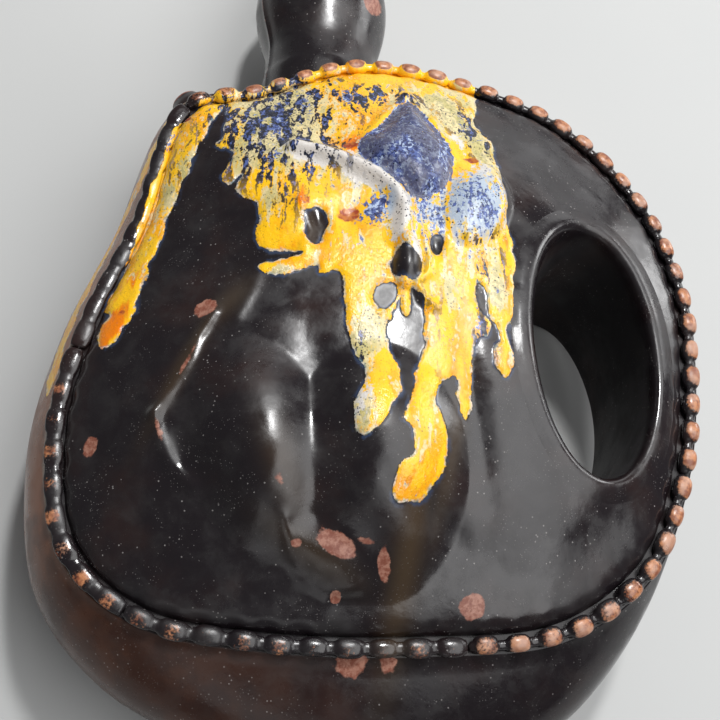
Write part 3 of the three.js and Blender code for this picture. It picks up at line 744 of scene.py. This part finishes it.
# The outer edge goes down to the ledge.
hem_edges = edges[(uses == 1) & ~np.isin(edges, hole_points).any(1)]
hem_points = np.unique(hem_edges)
hem_index = np.full(len(panel_xy), -1)
hem_index[hem_points] = len(panel_xy) + np.arange(len(hem_points))
hem = panel_points[hem_points] * (1, 1, 0) + (0, 0, PANEL_BASE)
a, b = hem_edges.T
hem_faces = np.stack([a, b, hem_index[b], hem_index[a]], 1)
panel_xy = np.vstack([panel_xy, panel_xy[hem_points]])
panel = new_mesh("glazed_front_panel", np.vstack([panel_points, hem]), np.vstack([panel_faces, hem_faces]))
flat_map = panel.data.uv_layers.new(name="OFBake")
loop_points = np.zeros(len(panel.data.loops), np.int32)
panel.data.loops.foreach_get("vertex_index", loop_points)
flat_uv = panel_xy[loop_points] / MAP_SPAN + 0.5
flat_map.data.foreach_set("uv", flat_uv.astype(np.float32).ravel())
face_up = bmesh.new()
face_up.from_mesh(panel.data)
bmesh.ops.recalc_face_normals(face_up, faces=face_up.faces)
if sum(f.normal.z for f in face_up.faces) < 0:
    bmesh.ops.reverse_faces(face_up, faces=face_up.faces)
face_up.to_mesh(panel.data)
face_up.free()
panel.data.set_sharp_from_angle(angle=math.radians(60))
paint_pour(panel)
panel.data.materials.append(panel_glaze)
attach(panel, "jug")
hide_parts("front_shell", *[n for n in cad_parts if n.startswith("sprig_")])

# ---- Back shell ----
# The other pressed half: a narrow ledge under the beads, a side that swells to the foot, and the flat back.
# Its glaze is painted browner towards the left side, a painted warm reflection, and its mould seam shows as
# a pale line at the ledge.

LEDGE_STEP = BEAD_WIDTH / 2
LEFT_BULGE, RIGHT_BULGE, FOOT_BULGE = 9.5, 1, 34
BULGE_HEIGHT, BACK_CURVE, CLAY_WALL = 34, 40, 6
SHELL_SLICES = 320


def bulge_toward(x, y):
    """How far the shell swells beyond the ledge in a direction."""
    radius = np.hypot(x, y)
    side_bulge = RIGHT_BULGE + (LEFT_BULGE - RIGHT_BULGE) * (1 - x / radius) / 2
    return side_bulge + (FOOT_BULGE - side_bulge) * np.clip(-y / radius, 0, None) ** 5


def shell_point(ray, share, step, z):
    """Points around the body at one height: this share of the swelling out from the ledge, plus a step."""
    radius = rim_radius(*ray.T) + LEDGE_STEP + bulge_toward(*ray.T) * share + step
    return np.column_stack([ray * radius[:, None], np.full(len(ray), z)])


def skin(rings, ends="capped"):
    """Quads between closed rings of points; the end rings are capped with fans, or joined to each other."""
    count = len(rings[0])
    points = np.vstack(rings)
    faces = []
    for k in range(len(rings) if ends == "joined" else len(rings) - 1):
        base, next_base = k * count, (k + 1) % len(rings) * count
        for i in range(count):
            j = (i + 1) % count
            faces.append((base + i, base + j, next_base + j, next_base + i))
    if ends == "capped":
        for ring, flip in ((0, True), (len(rings) - 1, False)):
            middle = len(points)
            points = np.vstack([points, rings[ring].mean(0)[None]])
            for i in range(count):
                j = (i + 1) % count
                pair = (ring * count + j, ring * count + i) if flip else (ring * count + i, ring * count + j)
                faces.append((*pair, middle))
    return points, faces


def outward(piece):
    """Turns a closed mesh's faces outward."""
    mesh = bmesh.new()
    mesh.from_mesh(piece.data)
    bmesh.ops.recalc_face_normals(mesh, faces=mesh.faces)
    mesh.to_mesh(piece.data)
    mesh.free()


def cut_away(piece, cutter):
    """Takes the cutter out of the piece, and removes the cutter."""
    outward(cutter)
    cut = piece.modifiers.new("cut", "BOOLEAN")
    cut.operation = "DIFFERENCE"
    cut.solver = "EXACT"
    cut.object = cutter
    graph = bpy.context.evaluated_depsgraph_get()
    mesh = bpy.data.meshes.new_from_object(piece.evaluated_get(graph))
    piece.modifiers.clear()
    old = piece.data
    piece.data = mesh
    bpy.data.meshes.remove(old)
    bpy.data.objects.remove(cutter)


def around(count):
    """Evenly spaced turns around a full circle."""
    return np.arange(count) * 2 * math.pi / count


def grip_ring(count, grow, z):
    """A ring of points around the finger hole, moved out from its outline; z is a number or a function."""
    turns = around(count)
    half_width, half_length = GRIP_WIDTH / 2, GRIP_LENGTH / 2
    normal = np.stack([np.cos(turns) / half_width, np.sin(turns) / half_length], 1)
    normal /= np.linalg.norm(normal, axis=1)[:, None]
    outline = np.stack([half_width * np.cos(turns), half_length * np.sin(turns)], 1)
    xy = (GRIP_X, GRIP_Y) + outline + normal * grow
    return np.column_stack([xy, z(xy) if callable(z) else np.full(count, z)])


def turned_shape(name, profile, slices, origin, axis):
    """A closed piece turned about an axis in the seam's plane, from pairs of radius and distance along it.

    A profile that starts and ends within a millimetre of the axis is capped there; any other is a loop.
    """
    along = np.array([axis[0], axis[1], 0]) / math.hypot(*axis[:2])
    sideways = np.array([along[1], -along[0], 0])
    turns = around(slices)
    spokes = np.cos(turns)[:, None] * sideways + np.sin(turns)[:, None] * np.array([0, 0, 1])
    rings = [origin + along * at + spokes * radius for radius, at in profile]
    solid_ends = profile[0][0] < 1 and profile[-1][0] < 1
    piece = new_mesh(name, *skin(rings, "capped" if solid_ends else "joined"))
    outward(piece)
    return piece


shell_turns = around(SHELL_SLICES)
shell_ray = np.stack([np.cos(shell_turns), np.sin(shell_turns)], 1)
SHELL_TOP = SEAM_HEIGHT - LUTING_GAP / 2
SIDE_STEPS, BACK_STEPS = 12, 18
EDGE_IN, EDGE_DEPTH = 0.25, 0.6  # the ledge's rounded outer edge

# Around the shell's section: the share of the swelling, a step out from the ledge, and the height.
outer_profile = [(0, -clay, SHELL_TOP) for clay in (LEDGE_STEP - PANEL_STEP + CLAY_WALL, 8, 5.2, 3.2, 1.8)]
outer_profile += [(0, -1.0, SHELL_TOP + 0.02), (0, -0.5, SHELL_TOP - 0.15)]
edge_height = SHELL_TOP - EDGE_DEPTH
for i in range(SIDE_STEPS + 1):
    down = i / SIDE_STEPS
    outer_profile.append((1 - (1 - down) ** 2, -EDGE_IN, edge_height + (BULGE_HEIGHT - edge_height) * down))
for i in range(1, BACK_STEPS + 1):
    curve = i / BACK_STEPS * math.pi / 2
    step_in = EDGE_IN + BACK_CURVE * (1 - math.cos(curve))
    outer_profile.append((1, -step_in, BULGE_HEIGHT * (1 - math.sin(curve))))
inner_profile = [(1, -CLAY_WALL - BACK_CURVE, CLAY_WALL), (1, -CLAY_WALL - BACK_CURVE * 0.4, CLAY_WALL + 3),
                 (1, -CLAY_WALL - BACK_CURVE * 0.12, CLAY_WALL + 13), (1, -CLAY_WALL, BULGE_HEIGHT),
                 (0.8, -CLAY_WALL, 47)]
shell_rings = [shell_point(shell_ray, *spot) for spot in outer_profile]
flat_rings = [shell_rings[-1] * (k, k, 1) for k in (0.75, 0.5, 0.25)]
inner_rings = [shell_point(shell_ray, *spot) for spot in inner_profile]
inner_middle = [inner_rings[0] * (k, k, 1) for k in (0.3, 0.65)]
all_rings = flat_rings[::-1] + shell_rings[::-1] + inner_rings[::-1] + inner_middle[::-1]
back = new_mesh("glazed_back_shell", *skin(all_rings))
outward(back)

NECK_X, NECK_HEIGHT, NECK_BORE = -21, 36, 12
BODY_TOP = float(rim_radius(0, 1) + LEDGE_STEP + bulge_toward(0, 1))
NECK_ORIGIN = np.array([NECK_X, BODY_TOP, NECK_HEIGHT])
SPOUT_TURN, SPOUT_HEIGHT, SPOUT_REACH, SPOUT_BORE = math.radians(126), 43, 5, 2.6
spout_axis = (math.cos(SPOUT_TURN), math.sin(SPOUT_TURN))
spout_side = float(rim_radius(*spout_axis) + LEDGE_STEP + bulge_toward(*spout_axis))
SPOUT_ORIGIN = np.array([0, 0, SPOUT_HEIGHT])

cut_away(back, new_mesh("grip_cutter", *skin([grip_ring(96, 5.2, z) for z in (-20, 30, 70, 90)])))
cut_away(back, turned_shape(
    "neck_cutter", [(0.5, -60), (NECK_BORE, -60), (NECK_BORE, 5), (0.5, 5)], 48, NECK_ORIGIN, (0, 1)))
cut_away(back, turned_shape(
    "spout_cutter", [(0.5, spout_side - 30), (SPOUT_BORE, spout_side - 30), (SPOUT_BORE, spout_side + 4),
                     (0.5, spout_side + 4)], 24, SPOUT_ORIGIN, spout_axis))

# Two bare places on the side just below the bottom beads.
BELOW_BEADS = [(-10.3, -111.2, 12, 7.5, 0, 1.1), (0.8, -111.4, 8.2, 6.4, 0, 1.1)]
POUR_STOPS = 42  # the height on the side where the pour ends
NO_POUR = -9
# The brown painted on the shell's left side is a painted warm reflection.
PAINTED_REFLECTION_BROWN = (0.210, 0.075, 0.030)
SEAM_PALE = (0.30, 0.25, 0.20)

back.data.shade_smooth()
back.data.set_sharp_from_angle(angle=math.radians(50))
paint_pour(back, runs_on_shell=True)
back_points = points_of(back)
out_by = np.hypot(*back_points[:, :2].T) - rim_radius(*back_points[:, :2].T) - LEDGE_STEP
seam_line = np.exp(-((out_by + 0.6) / 0.6) ** 2) * (back_points[:, 2] > SHELL_TOP - 1.2)
# Painted reflection mask: strongest on the left, nothing right of the middle, and weaker near the foot; it
# also weights the pale seam line.
left = np.clip(-back_points[:, 0] / 100, 0, 1) * np.clip((back_points[:, 1] + 110) / 60, 0.25, 1)
paint(
    back,
    seam=seam_line * (0.15 + 0.85 * left),
    warm=left * (out_by > -0.8),
    rust=soft_spots(back_points[:, 0], back_points[:, 1], BELOW_BEADS) * (back_points[:, 2] > 50),
    pour=np.where(back_points[:, 2] > POUR_STOPS, pour_depth(back_points, runs_on_shell=True), NO_POUR))


def wire_into(shader, name):
    """The wire that already feeds one of the shader's inputs."""
    return Wire(shader.id_data, shader.inputs[name].links[0].from_socket)


def shell_material():
    """The side's glaze: as on the front, with brown painted to the left as a painted warm reflection, and
    the pale seam line.
    """
    material = glazed_material("brown_black_glaze")
    shader = principled(material)
    wire = wire_into(shader, "Base Color")
    # Painted warm reflection: brown on the left side, outside the pour.
    warm = wire.attribute("warm") * (0.55 + wire.noise(12, 4, seed=41).step(0.40, 0.60) * 0.45)
    dark = wire.attribute("pour").step(0.1, -0.05)
    colour = (warm * dark * 1.4).clamped().mix(wire, PAINTED_REFLECTION_BROWN)
    line = (wire.attribute("seam") + (wire.noise(3, 3, seed=42) - 0.5) * 0.5).step(0.35, 0.65)
    drive(shader, Base_Color=(line * 0.7).mix(colour, SEAM_PALE))
    shader.inputs["Specular IOR Level"].default_value = 0.3
    return material


back.data.materials.append(shell_material())
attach(back, "jug")
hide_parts("back_shell")

# ---- Finger-hole tunnel ----
# An oval sleeve of clay luted through both shells, with its front mouth rolled over into a soft round lip.
# The glaze is whole here, and duller inside.


def back_height(xy):
    """Height of the back's outside over each point."""
    x, y = xy[:, 0], xy[:, 1]
    flat = rim_radius(x, y) + LEDGE_STEP + bulge_toward(x, y) - BACK_CURVE
    out = np.clip((np.hypot(x, y) - flat) / BACK_CURVE, 0, 1)
    return BULGE_HEIGHT * (1 - np.sqrt(1 - out ** 2))


# Steps out from the hole's outline, and heights above the panel (front) or the back's face (back).
FRONT_LIP = [(11.5, -0.7), (9.8, -0.15), (8.0, 0.15), (6.2, 0.55), (4.6, 0.85), (3.3, 0.78), (2.2, 0.30),
             (1.4, -0.55), (0.8, -1.7), (0.35, -3.2), (0.0, -5.2), (-0.4, -8.5), (-0.9, -14)]
BACK_LIP = [(-1.0, 14), (-0.4, 8), (0.2, 4.6), (1.0, 2.4), (2.0, 1.0), (3.1, 0.4), (4.3, 0.3), (5.0, 1.2)]
GRIP_SLICES = 240
GRIP_WAIST, WAIST_EDGE, WAIST_RINGS = 1.5, 0.95, 7
SLEEVE_OUTSIDE, LIP_FOOT = 5.0, 11.3
DEEP_START, DEEP_RUN = 2, 9  # below the panel, where the glaze inside turns dull


def over_panel(lift):
    return lambda xy: panel_height(xy) + lift


def over_back(lift):
    return lambda xy: back_height(xy) + lift


grip_rings = [grip_ring(GRIP_SLICES, grow, over_panel(lift)) for grow, lift in FRONT_LIP]
high = grip_rings[-1]
low = grip_ring(GRIP_SLICES, BACK_LIP[0][0], over_back(BACK_LIP[0][1]))
for k in range(1, WAIST_RINGS + 1):
    share = k / (WAIST_RINGS + 1)
    waist = grip_ring(GRIP_SLICES, -WAIST_EDGE - (GRIP_WAIST - WAIST_EDGE) * math.sin(share * math.pi), 0)
    waist[:, 2] = high[:, 2] + (low[:, 2] - high[:, 2]) * share
    grip_rings.append(waist)
grip_rings += [grip_ring(GRIP_SLICES, grow, over_back(lift)) for grow, lift in BACK_LIP]
grip_rings.append(grip_ring(GRIP_SLICES, SLEEVE_OUTSIDE, 45))
grip_rings.append(grip_ring(GRIP_SLICES, SLEEVE_OUTSIDE, over_panel(-4)))
grip_rings.append(grip_ring(GRIP_SLICES, LIP_FOOT, over_panel(-3)))
tunnel = new_mesh("finger_hole_tunnel", *skin(grip_rings, "joined"))
outward(tunnel)
paint_pour(tunnel)
tunnel_points = points_of(tunnel)
below_panel = panel_height(tunnel_points) - tunnel_points[:, 2]
paint(tunnel, deep=np.clip((below_panel - DEEP_START) / DEEP_RUN, 0, 1))
tunnel_glaze = glazed_material("black_glaze_tunnel", poured=False)
shader = principled(tunnel_glaze)
wire = wire_into(shader, "Roughness")
drive(shader, Roughness=(wire + wire.attribute("deep") * 0.45).clamped())
tunnel.data.materials.append(tunnel_glaze)
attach(tunnel, "jug")
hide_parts("grip_tunnel")

# ---- Bead rows ----
# Small beads of clay, rolled between the fingers and pressed on the ledge in seven lengths.
# The glaze runs off their tops, so each shows the red clay there and stays dark around its foot.

BEAD_LENGTH, BEAD_ACROSS, BEAD_TALL, BEAD_CORE = 8.0, 6.0, 4.4, 1.5
BEAD_RINGS, BEAD_SLICES = 18, 20
# Each row with the share of bare clay on its beads, at its start and its end, and how far they stand proud
# of the glaze that has pooled around them.
BEAD_ROWS = [
    ("left", 0.20, 0.14, 0.22), ("lower_left", 0.44, 0.56, 0.30), ("bottom", 0.42, 0.34, 0.60),
    ("lower_right", 0.70, 0.85, 1.0), ("right", 0.85, 0.75, 1.0), ("upper_right", 0.85, 0.95, 1.0),
    ("top", 1.0, 0.60, 0.95),
]
BEAD_CLAY, BEAD_CLAY_LIGHT, BEAD_SLIP = (0.22, 0.070, 0.034), (0.48, 0.20, 0.09), (0.50, 0.29, 0.20)


def bead_material():
    """Glaze that has run off the beads' tops and left red-brown clay, with flecks on the darker ones."""
    material, shader, wire = new_material("bead_glaze")
    dark, roughness = black_glaze(wire)
    fleck = wire.noise(0.8, 4, roughness=0.7, seed=51)
    show = (wire.attribute("bare") + (fleck - 0.5) * 1.1).step(0.38, 0.66)
    clay = wire.noise(2.6, 4, roughness=0.6, seed=52)
    clay_colour = clay.step(0.40, 0.60).mix(BEAD_CLAY, BEAD_CLAY_LIGHT)
    pale = (wire.noise(5, 2, seed=53).step(0.48, 0.6) * 0.6).mix(clay_colour, BEAD_SLIP)
    colour = show.mix(dark, pale)
    pour = wire.attribute("pour") + (wire.noise(0.8, 3, seed=54) - 0.5) * 0.8
    coated = pour.step(-0.1, 0.3) * (wire.attribute("bare") + (fleck - 0.5) * 0.4).step(0.62, 0.42)
    colour = coated.mix(colour, pour_colour(wire))
    bump = wire.node("ShaderNodeBump", Height=clay * 0.12 + coated * 0.1, Strength=1.0, Distance=MM)
    drive(shader, Base_Color=colour, Roughness=roughness + show * 0.10, Normal=bump)
    shader.inputs["IOR"].default_value = GLAZE_IOR
    return material


beads_look = bead_material()
chance = np.random.default_rng(5)
for row_number, (row_name, bare_start, bare_end, proud) in enumerate(BEAD_ROWS):
    first = round(row_number * bead_count / len(BEAD_ROWS))
    last = round((row_number + 1) * bead_count / len(BEAD_ROWS))
    beads = last - first
    steps = beads * BEAD_RINGS
    places = (first + np.arange(steps + 1) / BEAD_RINGS) / bead_count
    centre, out_way = on_bead_line(places)
    number = np.minimum(np.arange(steps + 1) // BEAD_RINGS, beads - 1)
    sizes = 1 + chance.uniform(-0.09, 0.09, beads)
    nudges = chance.uniform(-0.3, 0.3, beads)
    bares = np.linspace(bare_start, bare_end, beads) + chance.uniform(-0.12, 0.12, beads)
    off = (np.arange(steps + 1) / BEAD_RINGS % 1 - 0.5) * BEAD_PITCH
    off[-1] = BEAD_PITCH / 2
    dome = np.clip(1 - np.abs(2 * off / (BEAD_LENGTH * sizes[number])) ** 2.4, 0, 1) ** 0.55
    rings, bare = [], []
    core = BEAD_CORE + (BEAD_ACROSS / 2 - BEAD_CORE) * (1 - proud) * 0.8
    turns = around(BEAD_SLICES)
    for k in range(steps + 1):
        swell = core + (BEAD_ACROSS / 2 * min(sizes[number[k]], 1.04) - core) * dome[k]
        if k in (0, steps):
            swell = 0.3
        tall = swell * BEAD_TALL / BEAD_ACROSS * (0.35 + 0.65 * proud)
        middle = centre[k] + out_way[k] * nudges[number[k]] * dome[k]
        ring = middle + np.cos(turns)[:, None] * swell * out_way[k]
        rings.append(np.column_stack([ring, SHELL_TOP + 0.35 + tall * 0.9 + tall * np.sin(turns)]))
        top = np.clip((np.sin(turns + 0.5) + 0.15) / 1.15, 0, 1) * dome[k]
        spot = np.exp(-(off[k] / (2 + 4 * proud)) ** 2)
        bare.append(bares[number[k]] * np.clip(top * 1.5, 0, 1) ** (4 - 3 * proud) * spot)
    beads_piece = new_mesh("beads_" + row_name, *skin(rings))
    outward(beads_piece)
    paint_pour(beads_piece)
    paint(beads_piece, bare=np.concatenate([*bare, [0, 0]]))
    beads_piece.data.materials.append(beads_look)
    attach(beads_piece, "jug")
    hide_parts("bead_row_" + row_name)

# ---- Neck ----
# A hollow gourd-shaped neck, pressed in two halves and luted together, then luted to the body's top.
# The join stands up as a fine ridge where the glaze has thinned to a pale line.

NECK_SEAM_TURN = math.radians(24)
NECK_OUTSIDE = [
    (24.0, -14), (23.6, -4), (23.0, 0), (22.6, 5), (22.5, 11), (23.6, 17), (25.4, 24), (26.6, 30.5),
    (27.0, 37), (26.5, 43.5), (25.4, 50), (23.2, 56), (20.6, 61), (17.8, 66), (16.0, 70), (16.4, 72.4),
    (18.2, 74.4), (19.0, 76.2), (19.0, 78.2), (18.2, 79.4), (16.8, 79.9), (15.0, 79.9), (13.4, 79.4),
    (12.8, 78.2),
]
NECK_INSIDE = [
    (12.0, 61.5), (17.0, 52), (21.0, 45), (21.2, 30), (17.5, 14), (16.5, 9), (12.5, -2), (12.0, -14),
]
SEAM_RIDGE, SEAM_RIDGE_WIDTH = 0.55, 1.1
NECK_SLICES = 80
LIP_FACE = 79  # distances from the body: the lip's face, and the worn line around it
LIP_WORN, LIP_WORN_WIDTH, LIP_RUST = 79.4, 0.9, 0.62
NECK_BLOTCH = (-2, BODY_TOP + 30, 12, 8, 60, 1.0)


def smooth_run(points, per_span):
    """Points on a smooth curve through the given ones."""
    ends = np.vstack([2 * points[0] - points[1], points, 2 * points[-1] - points[-2]])
    found = []
    for k in range(1, len(ends) - 2):
        for t in np.linspace(0, 1, per_span, endpoint=False):
            p0, p1, p2, p3 = ends[k - 1:k + 3]
            found.append(0.5 * (2 * p1 + (p2 - p0) * t + (2 * p0 - 5 * p1 + 4 * p2 - p3) * t * t
                                + (3 * p1 - p0 - 3 * p2 + p3) * t ** 3))
    found.append(points[-1])
    return np.array(found)


neck_outside = smooth_run(np.array(NECK_OUTSIDE, float), 4)
neck_loop = np.vstack([neck_outside, np.array(NECK_INSIDE, float)])
neck_glaze = glazed_material("black_glaze_neck", poured=False)
for half, start in (("front", 0.0), ("back", math.pi)):
    turns = start - NECK_SEAM_TURN + np.linspace(0, math.pi, NECK_SLICES + 1)
    points, seam = [], []
    for turn in turns:
        to_seam = min(turn - turns[0], turns[-1] - turn)
        for k, (radius, along) in enumerate(neck_loop):
            on_ridge = 0.0
            if k < len(neck_outside) and along < LIP_FACE:
                on_ridge = math.exp(-(to_seam * radius / SEAM_RIDGE_WIDTH) ** 2)
            radius = radius + SEAM_RIDGE * on_ridge
            points.append((
                NECK_X + radius * math.cos(turn), BODY_TOP + along, NECK_HEIGHT + radius * math.sin(turn)))
            seam.append(on_ridge)
    loop = len(neck_loop)
    faces = []
    for j in range(NECK_SLICES):
        for k in range(loop):
            n = (k + 1) % loop
            faces.append((j * loop + k, j * loop + n, (j + 1) * loop + n, (j + 1) * loop + k))
    faces.append(tuple(range(loop)))
    faces.append(tuple(range(NECK_SLICES * loop + loop - 1, NECK_SLICES * loop - 1, -1)))
    neck = new_mesh("neck_" + half, points, faces)
    outward(neck)
    neck.data.set_sharp_from_angle(angle=math.radians(60))
    x, y, z = np.array(points).T
    blotch = (z > NECK_HEIGHT) * soft_spots(x, y, [NECK_BLOTCH])
    lip = LIP_RUST * np.exp(-((y - BODY_TOP - LIP_WORN) / LIP_WORN_WIDTH) ** 2)
    paint(neck, seam=seam, rust=np.maximum(np.array(seam) * 0.45, np.maximum(blotch, lip)))
    neck.data.materials.append(neck_glaze)
    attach(neck, "jug")
    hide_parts("neck_" + half + "_half")

# ---- Cork ----
# A tapered cork cut from bark, its sides pitted with pores, and pushed into the mouth by hand.
# It lifts straight out along the neck.

CORK_DEPTH, CORK_STAND, CORK_TAPER, CORK_CLEARANCE = 17, 8.9, 0.8, 0.3
MOUTH = BODY_TOP + 80
cork_low, cork_high = NECK_BORE - CORK_CLEARANCE, NECK_BORE + 2 * CORK_TAPER
CORK_STEPS, CORK_SLICES, CORK_MIDDLE = 24, 96, 0.4
BARK_DARK, BARK_LIGHT, BARK_PORE = (0.30, 0.165, 0.075), (0.47, 0.30, 0.155), (0.10, 0.045, 0.022)

cork_profile = [(CORK_MIDDLE, -CORK_DEPTH), (cork_low * 0.5, -CORK_DEPTH), (cork_low * 0.92, -CORK_DEPTH)]
for k in range(CORK_STEPS):
    up_cork = k / CORK_STEPS
    cork_radius = cork_low + (cork_high - cork_low) * up_cork
    cork_profile.append((cork_radius, 1 - CORK_DEPTH + (CORK_DEPTH + CORK_STAND - 2) * up_cork))
cork_profile += [
    (cork_high * 0.985, CORK_STAND - 0.5), (cork_high * 0.94, CORK_STAND), (cork_high * 0.7, CORK_STAND),
    (cork_high * 0.35, CORK_STAND), (CORK_MIDDLE, CORK_STAND)]
cork = turned_shape("cork", cork_profile, CORK_SLICES, np.array([NECK_X, MOUTH, NECK_HEIGHT]), (0, 1))
cork_points = points_of(cork)
pits = ripple(cork_points, 2.2, 3) + 0.6 * ripple(cork_points, 1.0, 9)
inward = np.array([NECK_X, 0, NECK_HEIGHT]) - cork_points * (1, 0, 1)
inward /= np.maximum(np.linalg.norm(inward, axis=1), 1e-6)[:, None]
sunk = cork_points + inward * np.clip(pits - 0.35, 0, 0.6)[:, None]
cork.data.vertices.foreach_set("co", (sunk * MM).astype(np.float32).ravel())
cork.data.update()
cork_material, cork_shader, wire = new_material("cork_bark")
grain = wire.noise(5, 5, stretch=(1, 0.5, 1), roughness=0.65, seed=61)
bark = grain.step(0.35, 0.68).mix(BARK_DARK, BARK_LIGHT)
pores = wire.cells(2.1).step(0.24, 0.12) * wire.noise(3, 3, seed=62).step(0.45, 0.58)
lines = wire.noise(1.3, 4, stretch=(0.6, 3.0, 0.6), seed=63).step(0.60, 0.70)
bark = (pores * 0.85 + lines * 0.4).clamped().mix(bark, BARK_PORE)
cork_height = grain * 0.5 - pores * 0.7 - lines * 0.3
drive(
    cork_shader, Base_Color=bark, Roughness=0.78 + pores * 0.15,
    Normal=wire.node("ShaderNodeBump", Height=cork_height, Strength=0.8, Distance=MM))
cork.data.materials.append(cork_material)
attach(cork, "stopper")
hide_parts("stopper_cork")

# ---- Pouring spout ----
# A short round nib of clay at the body's upper left corner, pierced with a small hole to pour from.
# It is luted on before glazing, and the glaze is worn through to the red clay around its tip.

SPOUT_ROOT_RADIUS, SPOUT_TIP_RADIUS, SPOUT_SLICES = 8.5, 6, 48
spout_tip = spout_side + SPOUT_REACH
spout_root = spout_side - 8
spout_outside = smooth_run(np.array([
    (SPOUT_ROOT_RADIUS, spout_root), (SPOUT_ROOT_RADIUS, spout_tip - 8),
    (SPOUT_ROOT_RADIUS - 0.8, spout_tip - 5), (SPOUT_TIP_RADIUS, spout_tip - 2.2),
    (SPOUT_TIP_RADIUS * 0.86, spout_tip - 0.8), (SPOUT_TIP_RADIUS * 0.62, spout_tip),
    (SPOUT_BORE + 0.3, spout_tip - 0.3), (SPOUT_BORE, spout_tip - 1.0)], float), 4)
spout = turned_shape(
    "pouring_spout_glazed", [*map(tuple, spout_outside), (SPOUT_BORE, spout_root)],
    SPOUT_SLICES, SPOUT_ORIGIN, spout_axis)
paint_pour(spout)
from_tip = points_of(spout)[:, :2] @ np.array(spout_axis) - spout_tip
paint(spout, rust=0.7 * np.exp(-((from_tip + 0.6) / 1.4) ** 2), pour=np.full(len(from_tip), NO_POUR))
spout.data.materials.append(neck_glaze)
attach(spout, "jug")
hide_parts("pouring_spout")

# ---- Foot ring ----
# An oval ring of clay luted to the bottom end, to stand the jug upright.
# It is glazed with the body, and its face is wiped bare for firing.

FOOT_X, FOOT_LENGTH, FOOT_WIDTH, FOOT_STAND, FOOT_SLICES = -6, 84, 34, 4, 160
BODY_BOTTOM = -float(rim_radius(0, -1)) - LEDGE_STEP - FOOT_BULGE
FOOT_FACE = BODY_BOTTOM - FOOT_STAND
# Around the ring's section: how far in from its outside, and how far up from its face.
FOOT_SECTION = [
    (0, 22), (0, 12), (0, 3), (0.15, 1.6), (0.7, 0.5), (1.6, 0), (4, 0), (6.4, 0), (7.4, 0.5), (7.9, 1.6),
    (8, 3), (8, 12), (8, 22),
]
foot_turns = around(FOOT_SLICES)
foot_rings = []
for inset, rise in FOOT_SECTION:
    foot_rings.append(np.column_stack([
        FOOT_X + (FOOT_LENGTH / 2 - inset) * np.cos(foot_turns),
        np.full(FOOT_SLICES, FOOT_FACE + rise),
        BULGE_HEIGHT + (FOOT_WIDTH / 2 - inset) * np.sin(foot_turns)]))
foot_points, foot_faces = skin(foot_rings, "joined")
foot = new_mesh("foot_ring_bare", foot_points, foot_faces)
outward(foot)
foot_rise = foot_points[:, 1] - FOOT_FACE
paint(foot, rust=np.clip(1.25 - foot_rise / 2.2, 0, 1))
foot.data.materials.append(glazed_material("foot_clay", poured=False))
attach(foot, "jug")
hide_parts("foot_ring")
